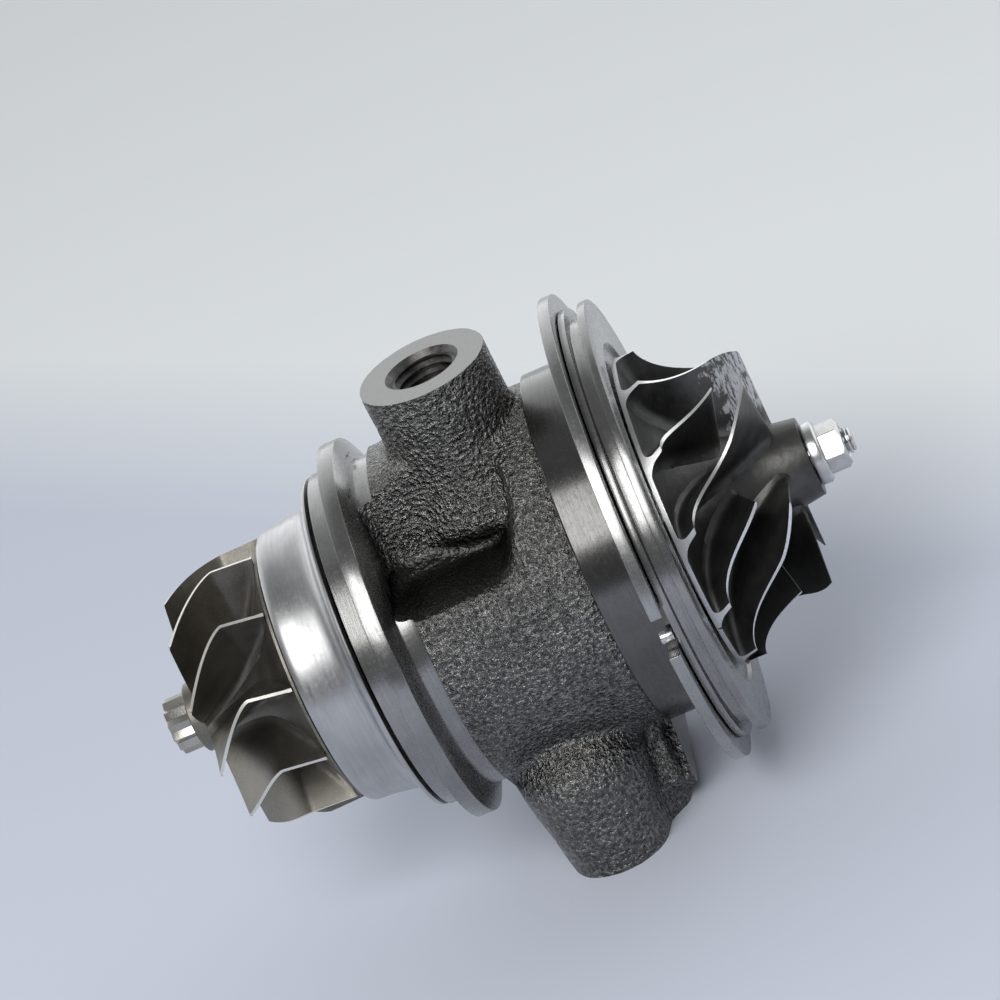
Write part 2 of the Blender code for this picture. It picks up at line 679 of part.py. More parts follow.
def drain_cutters():
    """Drain hole, the chamber over it, and the ways into it from both ends."""
    hole_top = DRAIN_HOLE_DEPTH - DRAIN_DROP
    hole = upright(
        rod("drain_hole", hole_top, -DRAIN_DROP - 1, DRAIN_HOLE_RADIUS, SMALL_FACET_COUNT),
        DRAIN_STATION,
    )
    half = DRAIN_HOLE_RADIUS + DRAIN_CHAMBER_MARGIN
    roof = -HOUSING_BORE - DRAIN_CHAMBER_ROOF
    chamber = box(
        "drain_chamber", (DRAIN_STATION - half, -half, hole_top - 1),
        (DRAIN_STATION + half, half, roof),
    )
    slinger_way = box(
        "slinger_way",
        (SLINGER_FRONT - SLINGER_WIDTH / 2, -SLINGER_WAY_HALF_WIDTH, -SLINGER_RADIUS - 2.5),
        (DRAIN_STATION - half + 2, SLINGER_WAY_HALF_WIDTH, roof - 0.5),
    )
    wide = THRUST_DRAIN_HALF_WIDTH - 2.5
    thrust_way = box(
        "thrust_way", (DRAIN_STATION + half - 2, -wide, -THRUST_PLATE_RADIUS + 0.5),
        (THRUST_SEAT_STATION + 2, wide, -THRUST_FACE_RADIUS - 2 * THRUST_FACE_PLAY),
    )
    return [hole, chamber, slinger_way, thrust_way]


def drain_bolt_hole(side):
    obj = rod(
        f"drain_bolt_{side:+d}", DRAIN_BOLT_DEPTH - DRAIN_DROP, -DRAIN_DROP - 1,
        DRAIN_BOLT_RADIUS, 12,
    )
    return upright(obj, DRAIN_STATION, side * DRAIN_BOLT_SPACING / 2)


def oil_drills():
    """One slanted oil way from the inlet to each journal bush."""
    start = (BOSS_STATION, 0, BOSS_HEIGHT - INLET_DEPTH - 0.5)
    ends = (TURBINE_BUSH_STATION, COMPRESSOR_BUSH_STATION)
    names = ("oil_way_turbine", "oil_way_compressor")
    return [
        drill(name, start, (end, 0, HOUSING_BORE - 1), OIL_DRILL_RADIUS)
        for name, end in zip(names, ends)
    ]


def bearing_housing():
    obj = turned("bearing_housing", housing_outside(), LARGE_FACET_COUNT, CAST_IRON, closed=False)
    combine(obj, "DIFFERENCE", pocket_cutter())
    combine(obj, "UNION", oil_block())
    combine(obj, "DIFFERENCE", flange_tool_path())
    combine(obj, "UNION", oil_boss(), drain_neck(), drain_lobe(-1), drain_lobe(1))
    combine(obj, "UNION", drain_foot(), drain_web(), drain_cheeks())
    combine(obj, "DIFFERENCE", insert_pocket_cutter(), bore_cutter(), inlet_cutter())
    combine(obj, "DIFFERENCE", *drain_cutters(), drain_bolt_hole(-1), drain_bolt_hole(1))
    combine(obj, "DIFFERENCE", *oil_drills())
    return obj


def locating_pin():
    """Pin in the flange lip that stands in the snap ring's gap."""
    angle = math.radians(PIN_AT_DEG)
    obj = rod(
        "locating_pin", LIP_BACK - CLEARANCE, LIP_BACK - PIN_STICKS_OUT, PIN_RADIUS, 16, GROUND_STEEL
    )
    obj.location = AXIS_PLACE + Vector(
        (0, PIN_RING_RADIUS * math.cos(angle), PIN_RING_RADIUS * math.sin(angle))
    ) * MM
    return obj


def snap_ring():
    """Split spring ring behind the flange lip. It holds the compressor cover."""
    inner = SPIGOT_RADIUS + SNAP_RING_PLAY
    outer = inner + SNAP_RING_WIDTH
    front = LIP_BACK - CLEARANCE
    edge = FLANGE_CHAMFER
    obj = turned(
        "snap_ring",
        [(front, outer - edge), (front - edge, outer), (front - SNAP_RING_THICKNESS + edge, outer),
         (front - SNAP_RING_THICKNESS, outer - edge), (front - SNAP_RING_THICKNESS, inner),
         (front, inner)],
        LARGE_FACET_COUNT, SPRING_STEEL,
    )
    half_gap = math.tan(math.radians(SNAP_RING_GAP_DEG / 2)) * outer
    margin = SNAP_RING_WIDTH / 2
    gap = box(
        "snap_ring_gap", (front - SNAP_RING_THICKNESS - 1, inner - margin, -half_gap),
        (front + 1, outer + margin, half_gap),
    )
    gap.rotation_euler = (math.radians(SNAP_RING_GAP_AT_DEG), 0, 0)
    combine(obj, "DIFFERENCE", gap)
    return obj


def circlip_stations():
    """Turbine bush outer side, turbine bush inner side, compressor bush inner side."""
    step = BUSH_LENGTH / 2 + CIRCLIP_THICKNESS / 2 + CLEARANCE
    return [
        TURBINE_BUSH_STATION - step, TURBINE_BUSH_STATION + step, COMPRESSOR_BUSH_STATION - step,
    ]


def bearing_circlips():
    names = ("circlip_turbine_outer", "circlip_turbine_inner", "circlip_compressor_inner")
    outer = HOUSING_BORE + CIRCLIP_BITE
    half = CIRCLIP_THICKNESS / 2
    for name, station in zip(names, circlip_stations()):
        obj = ring(
            name, station + half, station - half, outer, BUSH_RADIUS - 0.9, SMALL_FACET_COUNT, SPRING_STEEL
        )
        gap = box(
            name + "_gap", (station - half - 1, -1, 0), (station + half + 1, 1, outer + 2)
        )
        combine(obj, "DIFFERENCE", gap)


def journal_bush(name, station):
    """Full-floating bush with oil holes round its middle."""
    half = BUSH_LENGTH / 2
    edge = 0.5
    obj = turned(
        name,
        [(station + half, BUSH_RADIUS - edge), (station + half - edge, BUSH_RADIUS),
         (station - half + edge, BUSH_RADIUS), (station - half, BUSH_RADIUS - edge),
         (station - half, BUSH_BORE), (station + half, BUSH_BORE)],
        SMALL_FACET_COUNT, BUSH_BRONZE,
    )
    reach = BUSH_RADIUS + 1
    for i in range(2):
        angle = math.pi / 2 * i + math.pi / 4
        side = Vector((0, math.cos(angle), math.sin(angle))) * reach
        middle = Vector((station, 0, 0))
        combine(obj, "DIFFERENCE", drill(f"{name}_oil_hole_{i}", middle - side, middle + side, 0.8, 6))
    return obj


def thrust_parts():
    """Inner thrust collar, thrust plate and oil deflector, from the bearings outward."""
    collar_back = THRUST_RECESS + CLEARANCE
    collar_front = collar_back + THRUST_RING_THICKNESS
    plate_back = THRUST_SEAT_STATION + CLEARANCE
    plate_front = plate_back + THRUST_PLATE_THICKNESS
    neck = THRUST_BORE_RADIUS - CLEARANCE
    turned(
        "thrust_collar",
        [(plate_front + CLEARANCE, neck), (collar_front, neck), (collar_front, THRUST_FACE_RADIUS),
         (collar_back, THRUST_FACE_RADIUS), (collar_back, WHEEL_BORE),
         (plate_front + CLEARANCE, WHEEL_BORE)],
        SMALL_FACET_COUNT, GROUND_STEEL,
    )
    plate = ring(
        "thrust_bearing", plate_front, plate_back, THRUST_PLATE_RADIUS, THRUST_BORE_RADIUS,
        MEDIUM_FACET_COUNT, BUSH_BRONZE,
    )
    drain_cut = box(
        "thrust_drain_cut",
        (plate_back - 1, -THRUST_DRAIN_HALF_WIDTH, -THRUST_PLATE_RADIUS - 1),
        (plate_front + 1, THRUST_DRAIN_HALF_WIDTH, -THRUST_FACE_RADIUS - 2.5),
    )
    combine(plate, "DIFFERENCE", drain_cut)
    deflector_back = plate_front + CLEARANCE
    lip = THRUST_FACE_RADIUS + DEFLECTOR_PLAY
    deflector = ring(
        "oil_deflector", deflector_back + DEFLECTOR_THICKNESS, deflector_back,
        THRUST_PLATE_RADIUS, lip, MEDIUM_FACET_COUNT, SHEET_STEEL,
    )
    chute_cut = box(
        "deflector_cut", (deflector_back - 1, -DEFLECTOR_CUT_HALF_WIDTH, -THRUST_PLATE_RADIUS - 1),
        (deflector_back + DEFLECTOR_THICKNESS + 1, DEFLECTOR_CUT_HALF_WIDTH, -THRUST_FACE_RADIUS - 4),
    )
    combine(deflector, "DIFFERENCE", chute_cut)
    return deflector_back + DEFLECTOR_THICKNESS


def flinger_sleeve(plate_front):
    """Outer thrust face, oil slinger and seal sleeve in one turned piece."""
    front = COMPRESSOR_BACK - CLEARANCE
    back = plate_front + 2 * CLEARANCE
    groove_front = INSERT_RING_STATION - COMPRESSOR_SEAL_SETBACK
    groove_back = groove_front - SEAL_GROOVE_WIDTH
    groove_floor = SLEEVE_RADIUS - SEAL_GROOVE_DEPTH
    collar = back + SLEEVE_COLLAR
    turned(
        "flinger_sleeve",
        [(front, SLEEVE_RADIUS), (groove_front, SLEEVE_RADIUS), (groove_front, groove_floor),
         (groove_back, groove_floor), (groove_back, SLEEVE_RADIUS),
         (collar + SLEEVE_CONE, SLEEVE_RADIUS), (collar, THRUST_FACE_RADIUS),
         (back, THRUST_FACE_RADIUS), (back, WHEEL_BORE), (front, WHEEL_BORE)],
        SMALL_FACET_COUNT, GROUND_STEEL,
    )
    ring(
        "compressor_seal_ring", groove_front - CLEARANCE, groove_front - CLEARANCE - SEAL_RING_WIDTH,
        INSERT_BORE_RADIUS - CLEARANCE, groove_floor + CLEARANCE, SMALL_FACET_COUNT, SPRING_STEEL,
    )


def seal_insert(deflector_front):
    """Plug behind the compressor wheel: seal bore, O-ring groove and slinger hollow."""
    front = -FACE_RECESS_DEPTH + CLEARANCE
    step = INSERT_RING_STATION
    shoulder = INSERT_SHOULDER_STATION + CLEARANCE
    back = deflector_front + CLEARANCE
    hollow = THRUST_FACE_RADIUS + SLINGER_HOLLOW_PLAY
    roof = shoulder + SLINGER_HOLLOW_PLAY
    middle = (step + shoulder) / 2
    near = middle + O_RING_GROOVE_WIDTH / 2
    far = middle - O_RING_GROOVE_WIDTH / 2
    floor = INSERT_RADIUS - O_RING_GROOVE_DEPTH
    turned(
        "seal_insert",
        [(front, INSERT_RADIUS - INSERT_FACE_STEP - CLEARANCE), (step, INSERT_RADIUS - INSERT_FACE_STEP),
         (step, INSERT_RADIUS), (near, INSERT_RADIUS), (near, floor), (far, floor),
         (far, INSERT_RADIUS), (shoulder, INSERT_RADIUS), (shoulder, THRUST_PLATE_RADIUS),
         (back, THRUST_PLATE_RADIUS), (back, hollow), (roof, hollow),
         (roof + SLINGER_HOLLOW_PLAY / 2, INSERT_BORE_RADIUS), (front, INSERT_BORE_RADIUS)],
        MEDIUM_FACET_COUNT, INSERT_ALUMINIUM,
    )
    section = O_RING_SECTION_RADIUS
    turned(
        "insert_o_ring", arc((middle, INSERT_RADIUS - section), section, 0, 300, 5),
        MEDIUM_FACET_COUNT, SEAL_RUBBER,
    )
    retainer_outer = INSERT_RADIUS + RETAINING_RING_BITE
    retainer_front = step + CLEARANCE + RETAINING_RING_THICKNESS
    retainer = ring(
        "insert_retaining_ring", retainer_front, step + CLEARANCE, retainer_outer,
        retainer_outer - RETAINING_RING_WIDTH, MEDIUM_FACET_COUNT, SPRING_STEEL,
    )
    gap = box(
        "retaining_ring_gap", (step, -RETAINING_RING_HALF_GAP, INSERT_RADIUS / 2),
        (retainer_front + 1, RETAINING_RING_HALF_GAP, retainer_outer + 1),
    )
    combine(retainer, "DIFFERENCE", gap)


def rotor_shaft():
    """Shaft from the turbine wheel's weld to the threaded end, in five ground diameters."""
    groove_front = SEAL_BOSS_END + TURBINE_SEAL_SETBACK
    groove_back = groove_front - SEAL_GROOVE_WIDTH
    groove_floor = SEAL_HUB_RADIUS - SEAL_GROOVE_DEPTH
    hub_end = TURBINE_FACE + SEAL_HUB_SETBACK
    step = THRUST_RECESS + CLEARANCE / 2
    edge = 0.4
    turned(
        "rotor_shaft",
        [(SHAFT_END, 0), (SHAFT_END, THREAD_RADIUS - edge), (SHAFT_END - edge, THREAD_RADIUS),
         (COMPRESSOR_NOSE - edge, THREAD_RADIUS), (COMPRESSOR_NOSE - 2 * edge, STUB_RADIUS),
         (step, STUB_RADIUS), (step - edge, JOURNAL_RADIUS),
         (hub_end, JOURNAL_RADIUS), (hub_end - 1, SEAL_HUB_RADIUS),
         (groove_front, SEAL_HUB_RADIUS), (groove_front, groove_floor),
         (groove_back, groove_floor), (groove_back, SEAL_HUB_RADIUS),
         (TURBINE_BACK + CLEARANCE, SEAL_HUB_RADIUS), (TURBINE_BACK + CLEARANCE, 0)],
        SMALL_FACET_COUNT, GROUND_STEEL, closed=False,
    )
    ring(
        "turbine_seal_ring", groove_front - CLEARANCE, groove_front - CLEARANCE - SEAL_RING_WIDTH,
        SEAL_BORE - CLEARANCE, groove_floor + CLEARANCE, SMALL_FACET_COUNT, SPRING_STEEL,
    )


def heat_shield():
    """Pressed cup between the turbine wheel and the bearing housing."""
    back = TURBINE_FACE - SHIELD_SEAT_GAP
    front = back - SHIELD_DEPTH
    sheet = SHIELD_SHEET
    rim = STEP_RADIUS - SHIELD_RIM_INSET
    body = rim - SHIELD_RIM_WIDTH
    corner = body - SHIELD_TAPER
    outside = [
        (back, rim),
        (back - 0.8, rim - 0.3),
        (back - sheet - 0.4, rim - 1.2),
        (back - sheet - 0.8, body + 1.6),
        (back - sheet - 1.6, body + 0.4),
        (back - sheet - 3, body),
        (front + 3.2, body - 0.7),
        (front + 1.2, corner + 0.4),
        (front + 0.3, corner - 0.3),
        (front, corner - 1.2),
        (front, SHIELD_HOLE_RADIUS),
    ]
    inside = [
        (front + sheet, SHIELD_HOLE_RADIUS),
        (front + sheet, corner - 1.5),
        (front + sheet + 0.8, corner - 0.8),
        (front + 3.4, body - 0.7 - sheet),
        (back - sheet - 2, body - sheet),
        (back - sheet, body),
        (back, body + 1.2),
    ]
    return turned("heat_shield", outside + inside, SHEET_FACET_COUNT, SHEET_STEEL)


def blade(name, place, thick_root, thick_tip, along, across):
    """A sheet bent by place(s, t), with s along the flow and t from hub to tip, then thickened."""
    bm = bmesh.new()
    bmesh.ops.create_grid(bm, x_segments=along, y_segments=across, size=1)
    layer = bm.verts.layers.deform.verify()
    for vert in bm.verts:
        s = (vert.co.x + 1) / 2
        t = (vert.co.y + 1) / 2
        station, radius, degrees = place(s, t)
        angle = math.radians(degrees)
        vert.co = Vector((station, radius * math.cos(angle), radius * math.sin(angle))) * MM
        vert[layer][0] = 1 - t
    mesh = bpy.data.meshes.new(name)
    bm.to_mesh(mesh)
    bm.free()
    obj = add_object(name, mesh)
    obj.vertex_groups.new(name="root")
    thicken = obj.modifiers.new("Thickness", "SOLIDIFY")
    thicken.thickness = thick_root * MM
    thicken.offset = 0
    thicken.vertex_group = "root"
    thicken.thickness_vertex_group = thick_tip / thick_root
    return obj


def turbine_hub_radius(station):
    """Hub contour: nearly radial at the disc, sweeping down to the nose."""
    start = TURBINE_BACK - TURBINE_DISC_THICKNESS
    end = TURBINE_BACK - TURBINE_LENGTH
    f = min(max((start - station) / (start - end), 0), 1)
    reach = TURBINE_DISC_RADIUS - TURBINE_HUB_END_RADIUS - TURBINE_HUB_SWELL
    return TURBINE_HUB_END_RADIUS + TURBINE_HUB_SWELL * (1 - f) + reach * (1 - f) ** 3.2


def turbine_blade_place(s, t):
    """Radial blade: straight along the inducer, then curling over toward the outlet."""
    disc = TURBINE_BACK - TURBINE_DISC_THICKNESS
    hub_end = TURBINE_BACK - TURBINE_LENGTH + TURBINE_HUB_RUNOUT
    tip_front = disc - TURBINE_TIP_WIDTH
    exit_station = tip_front - TURBINE_TIP_RUN
    hub_station = disc - 0.05 + (hub_end - disc) * s
    hub_radius = turbine_hub_radius(hub_station) - 0.9
    if s < 0.02:
        hub_radius = TURBINE_TIP_RADIUS
    tip_station = tip_front + (exit_station - tip_front) * s
    tip_radius = TURBINE_TIP_RADIUS - (TURBINE_TIP_RADIUS - TURBINE_EXIT_RADIUS) * s ** 0.8
    station = hub_station + (tip_station - hub_station) * t
    radius = hub_radius + (tip_radius - hub_radius) * t
    curl = max((tip_front - station) / (tip_front - exit_station), 0)
    lean = 2.7 * min(max((station - tip_front) / TURBINE_TIP_WIDTH, 0), 1)
    return station, radius, TURBINE_BLADE_AT_DEG + lean + TURBINE_TWIST_DEG * curl ** 1.45


def twelve_point_nose():
    """Two hexagons on one axis, for the tool that holds the rotor."""
    bm = bmesh.new()
    bmesh.ops.create_cone(
        bm, cap_ends=True, segments=24, radius1=NOSE_RADIUS * MM, radius2=NOSE_RADIUS * MM,
        depth=(NOSE_LENGTH + 1) * MM,
    )
    for vert in bm.verts:
        turn = math.atan2(vert.co.y, vert.co.x) / (2 * math.pi) * 24
        if round(turn) % 2:
            vert.co.x *= NOSE_FLUTE_SHARE
            vert.co.y *= NOSE_FLUTE_SHARE
    mesh = bpy.data.meshes.new("twelve_point_nose")
    bm.to_mesh(mesh)
    bm.free()
    obj = add_object("twelve_point_nose", mesh)
    obj.rotation_euler = ALONG_X
    obj.location = AXIS_PLACE + Vector((NOSE_END + (NOSE_LENGTH + 1) / 2, 0, 0)) * MM
    return obj


def turbine_wheel():
    disc = TURBINE_BACK - TURBINE_DISC_THICKNESS
    end = TURBINE_BACK - TURBINE_LENGTH
    contour = []
    for f in (0.03, 0.1, 0.2, 0.34, 0.54, 0.78):
        station = disc + (end - disc) * f
        contour.append((station, turbine_hub_radius(station)))
    obj = turned(
        "turbine_wheel",
        [(TURBINE_BACK, 0), (TURBINE_BACK, TURBINE_DISC_RADIUS), (disc, TURBINE_DISC_RADIUS)]
        + contour + [(end, TURBINE_HUB_END_RADIUS), (end, 0)],
        3 * TURBINE_BLADE_COUNT, TURBINE_ALLOY, closed=False,
    )
    blades = bpy.data.collections.new("turbine_blades")
    CUTTERS.children.link(blades)
    first = blade(
        "turbine_blade_01", turbine_blade_place, TURBINE_BLADE_ROOT, TURBINE_BLADE_TIP, 7, 2
    )
    for i in range(TURBINE_BLADE_COUNT):
        piece = first
        if i:
            piece = first.copy()
            piece.name = f"turbine_blade_{i + 1:02d}"
        else:
            CUTTERS.objects.unlink(piece)
        blades.objects.link(piece)
        piece.rotation_euler = (2 * math.pi * i / TURBINE_BLADE_COUNT, 0, 0)
    join = obj.modifiers.new("Blades", "BOOLEAN")
    join.operation = "UNION"
    join.solver = "EXACT"
    join.operand_type = "COLLECTION"
    join.collection = blades
    combine(obj, "UNION", twelve_point_nose())
    return obj


def wrap(m):
    """Share of a compressor blade's turn at m, from steep at the inlet to swept back at the rim."""
    start = 2.1
    end = 0.64
    return (start + end - 2) * m ** 3 + (3 - 2 * start - end) * m ** 2 + start * m


def compressor_hub(m):
    """Hub contour from the leading edge (m = 0) to the rim (m = 1)."""
    front = COMPRESSOR_NOSE - BLADE_LEADING_SETBACK + 0.6
    back = COMPRESSOR_BACK + COMPRESSOR_DISC_THICKNESS
    angle = math.pi / 2 * m
    station = back + (front - back) * (1 - math.sin(angle)) ** 1.05
    radius = COMPRESSOR_HUB_RADIUS + 0.6 + (COMPRESSOR_RADIUS - COMPRESSOR_HUB_RADIUS - 0.6) * (
        1 - math.cos(angle)
    ) ** 1.0
    return station, radius


def compressor_tip(m):
    """Shroud contour: level past the splitter's leading edge, then turning out to the rim."""
    front = COMPRESSOR_NOSE - BLADE_LEADING_SETBACK
    back = COMPRESSOR_BACK + COMPRESSOR_DISC_THICKNESS + COMPRESSOR_EXIT_WIDTH
    level = front - COMPRESSOR_INLET_RUN
    if m < SPLITTER_START:
        station = front + (level - front) * m / SPLITTER_START
        return station, COMPRESSOR_INLET_RADIUS + 0.1 * m
    turn = (m - SPLITTER_START) / (1 - SPLITTER_START)
    angle = math.pi / 2 * turn
    station = back + (level - back) * (1 - math.sin(angle)) ** 0.9
    radius = COMPRESSOR_INLET_RADIUS + (COMPRESSOR_RADIUS - COMPRESSOR_INLET_RADIUS) * (
        1 - math.cos(angle)
    ) ** 1.0
    return station, radius


def compressor_blade_place(start):
    """The place function of a blade that starts at share start of the flow path."""

    def place(s, t):
        m = start + (1 - start) * s
        hub_station, hub_radius = compressor_hub(m)
        tip_station, tip_radius = compressor_tip(m)
        sink = BLADE_SINK * (1 - t)
        station = hub_station + (tip_station - hub_station) * t - sink * m
        radius = hub_radius + (tip_radius - hub_radius) * t - sink * (1 - m)
        turn = COMPRESSOR_WRAP_DEG * wrap(m) + (1 - t) * (TRAILING_RAKE_DEG * m - 3 * (1 - m))
        return station, radius, COMPRESSOR_BLADE_AT_DEG + turn

    return place


def compressor_wheel():
    disc_front = COMPRESSOR_BACK + COMPRESSOR_DISC_THICKNESS
    contour = [compressor_hub(1 - i / 7) for i in range(1, 8)]
    outline = [(COMPRESSOR_NOSE, WHEEL_BORE), (COMPRESSOR_NOSE, COMPRESSOR_HUB_RADIUS)]
    outline += contour[::-1]
    outline += [(disc_front, COMPRESSOR_RADIUS), (COMPRESSOR_BACK, COMPRESSOR_RADIUS)]
    outline += [(COMPRESSOR_BACK, WHEEL_BORE)]
    obj = turned("compressor_wheel", outline, 5 * COMPRESSOR_BLADE_COUNT, CAST_ALUMINIUM)
    blades = bpy.data.collections.new("compressor_blades")
    CUTTERS.children.link(blades)
    pitch = 2 * math.pi / COMPRESSOR_BLADE_COUNT
    for kind, start, offset, along in (("main", 0.0, 0.0, 8), ("splitter", SPLITTER_START, 0.5, 6)):
        first = blade(
            f"compressor_{kind}_blade_1", compressor_blade_place(start), COMPRESSOR_BLADE_ROOT,
            COMPRESSOR_BLADE_TIP, along, 2,
        )
        CUTTERS.objects.unlink(first)
        for i in range(COMPRESSOR_BLADE_COUNT):
            piece = first if i == 0 else first.copy()
            piece.name = f"compressor_{kind}_blade_{i + 1}"
            blades.objects.link(piece)
            piece.rotation_euler = (pitch * (i + offset), 0, 0)
    join = obj.modifiers.new("Blades", "BOOLEAN")
    join.operation = "UNION"
    join.solver = "EXACT"
    join.operand_type = "COLLECTION"
    join.collection = blades
    return obj


def shaft_nut():
    """Flanged hex nut on the shaft's thread."""
    bore = THREAD_RADIUS + CLEARANCE
    collar_front = NUT_SEAT + NUT_COLLAR_THICKNESS
    obj = turned(
        "shaft_nut",
        [(collar_front, NUT_COLLAR_RADIUS - 0.5), (collar_front - 0.4, NUT_COLLAR_RADIUS),
         (NUT_SEAT, NUT_COLLAR_RADIUS), (NUT_SEAT, bore), (collar_front, bore)],
        SMALL_FACET_COUNT, PLATED_STEEL,
    )
    corner = NUT_ACROSS_FLATS / 2 / math.cos(math.pi / 6)
    bm = bmesh.new()
    bmesh.ops.create_cone(
        bm, cap_ends=True, segments=6, radius1=corner * MM, radius2=corner * MM,
        depth=(NUT_HEX_HEIGHT + 1) * MM,
    )
    mesh = bpy.data.meshes.new("nut_hex")
    bm.to_mesh(mesh)
    bm.free()
    hexagon = add_object("nut_hex", mesh)
    hexagon.rotation_euler = ALONG_X
    hexagon.location = AXIS_PLACE + Vector((NUT_END - (NUT_HEX_HEIGHT + 1) / 2, 0, 0)) * MM
    thread_hole = rod("nut_thread_hole", NUT_END + 1, NUT_SEAT - 1, bore, SMALL_FACET_COUNT)
    combine(obj, "UNION", hexagon)
    combine(obj, "DIFFERENCE", thread_hole)
    return obj


def build():
    bearing_housing()
    locating_pin()
    snap_ring()
    bearing_circlips()
    journal_bush("turbine_journal_bush", TURBINE_BUSH_STATION)
    journal_bush("compressor_journal_bush", COMPRESSOR_BUSH_STATION)
    deflector_front = thrust_parts()
    plate_front = THRUST_SEAT_STATION + CLEARANCE + THRUST_PLATE_THICKNESS
    flinger_sleeve(plate_front)
    seal_insert(deflector_front)
    rotor_shaft()
    heat_shield()
    turbine_wheel()
    compressor_wheel()
    shaft_nut()
    shading = angle_shading()
    for obj in PARTS.objects:
        obj.modifiers.new("Angle shading", "NODES").node_group = shading


build()
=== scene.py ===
"""Looks of the turbo cartridge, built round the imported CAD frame.

Sizes are in millimetres. A station is the distance along the shaft from the compressor flange's
face, plus toward the compressor, and heights are from the shaft's axis. Angles about the shaft
run from +Y over +Z.
"""

import math

import bmesh
import bpy
from mathutils import Matrix, Vector, noise

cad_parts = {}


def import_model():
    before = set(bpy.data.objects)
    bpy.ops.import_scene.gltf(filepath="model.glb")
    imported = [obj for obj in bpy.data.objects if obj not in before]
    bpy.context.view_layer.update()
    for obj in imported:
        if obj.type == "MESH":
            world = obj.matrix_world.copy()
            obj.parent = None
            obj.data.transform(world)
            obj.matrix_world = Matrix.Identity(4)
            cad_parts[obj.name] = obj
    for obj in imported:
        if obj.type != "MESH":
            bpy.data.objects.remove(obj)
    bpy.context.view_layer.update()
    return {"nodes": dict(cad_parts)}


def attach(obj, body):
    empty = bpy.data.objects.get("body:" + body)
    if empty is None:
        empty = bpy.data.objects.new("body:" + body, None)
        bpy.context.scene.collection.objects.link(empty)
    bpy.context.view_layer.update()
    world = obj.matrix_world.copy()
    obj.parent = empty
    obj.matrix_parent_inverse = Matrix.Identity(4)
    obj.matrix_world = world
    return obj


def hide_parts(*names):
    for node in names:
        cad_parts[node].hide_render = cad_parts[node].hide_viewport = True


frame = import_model()

MM = 0.001
AXIS_HEIGHT = 44.6
STATION_ZERO = 31.25
PLAY = 0.3  # between pieces that touch on the real cartridge
AXIS_POINT = Vector((0, 0, AXIS_HEIGHT)) * MM

# Compressor flange, spigot and snap ring
FLANGE_RADIUS = 38.9
DISC_THICKNESS = 1.4
GROOVE_WIDTH = 2.2
GROOVE_RADIUS = 36.6
LIP_THICKNESS = 1.2
FACE_RECESS_RADIUS = 30.5
FACE_RECESS_DEPTH = 0.8
SPIGOT_RADIUS = 31.5
SPIGOT_LENGTH = 10.4
LIP_BACK = -DISC_THICKNESS - GROOVE_WIDTH - LIP_THICKNESS
SPIGOT_END = LIP_BACK - SPIGOT_LENGTH
SNAP_RING_INNER = 32.3
SNAP_RING_OUTER = 42.06
SNAP_RING_THICKNESS = 2.0
SNAP_RING_ROUNDING = 0.25
SNAP_RING_GAP_DEG = 10.0
SNAP_RING_GAP_AT_DEG = 178.9
PIN_RADIUS = 1.1
PIN_RING_RADIUS = 37.6
PIN_AT_DEG = 181.6
PIN_STICKS_OUT = 2.6

# Casting and turbine flange
BARREL_RADIUS = 30.6
CORE_RADIUS = 20.0
POCKET_FLOOR = BARREL_RADIUS * math.sin(math.radians(28.0))
POCKET_FLOOR_END = -26.6
POCKET_SLOPE_END = -22.0
POCKET_SLOPE_RISE = 7.0
POCKET_CORNER = 3.0
TURBINE_FACE = -54.6
RIM_RADIUS = 34.2
RIM_THICKNESS = 2.9
STEP_RADIUS = 30.3
STEP_THICKNESS = 3.5
CONE_FOOT_RADIUS = 31.0
CONE_THICKNESS = 1.7
TOOL_FILLET = 4.2
TOOL_RUN = 4.4
GROOVE_RUN = 2.2
TOOL_FLOOR_RADIUS = BARREL_RADIUS - 0.6
SEAL_BOSS_RADIUS = 14.0
SEAL_BOSS_LENGTH = 7.0
RIM_FRONT = TURBINE_FACE + STEP_THICKNESS
RIM_BACK = RIM_FRONT + RIM_THICKNESS
CONE_FOOT = RIM_BACK + CONE_THICKNESS

# Oil inlet and drain
BOSS_STATION = -27.8
BOSS_HEIGHT = 43.0
BOSS_RADIUS = 11.3
BOSS_FLARE = 3.3
BOSS_FLARE_DROP = 12.0
BOSS_EDGE = POCKET_FLOOR + 4.3
INLET_RADIUS = 5.4
INLET_CHAMFER_RADIUS = 6.6
INLET_DEPTH = 13.0
INLET_POINT = 3.0
THREAD_PITCH = 1.5
THREAD_HEIGHT = 0.75
BLOCK_HALF_WIDTH = 10.4
BLOCK_DRAFT = 1.4
BLOCK_HEIGHT = 31.3
BLOCK_END = -26.0
DRAIN_STATION = -31.5
DRAIN_DROP = 44.6
DRAIN_HOLE_RADIUS = 8.0
DRAIN_BOLT_REACH = 18.0
DRAIN_BOLT_RADIUS = 3.4
DRAIN_BOLT_DEPTH = 15.0
LOBE_RADIUS = 9.0
LOBE_DRAFT = 2.4
LOBE_TOP_DROP = 18.0
LOBE_DOME = 9.0
NECK_HALF_WIDTH = 14.0
WEB_STATION = -15.7
WEB_THICKNESS = 3.3
WEB_DROP = 42.0
WEB_HALF_WIDTH = 15.5
CHEEK_HALF_WIDTH = 17.0
CHEEK_TOP_HALF_WIDTH = 12.0
CHEEK_REACH = 3.0
INSERT_POCKET_RADIUS = 22.3
INSERT_SHOULDER = -9.5
THRUST_POCKET_RADIUS = 18.7
THRUST_SEAT = -17.0
JOURNAL_BORE = 6.7
SEAL_BORE = 8.5

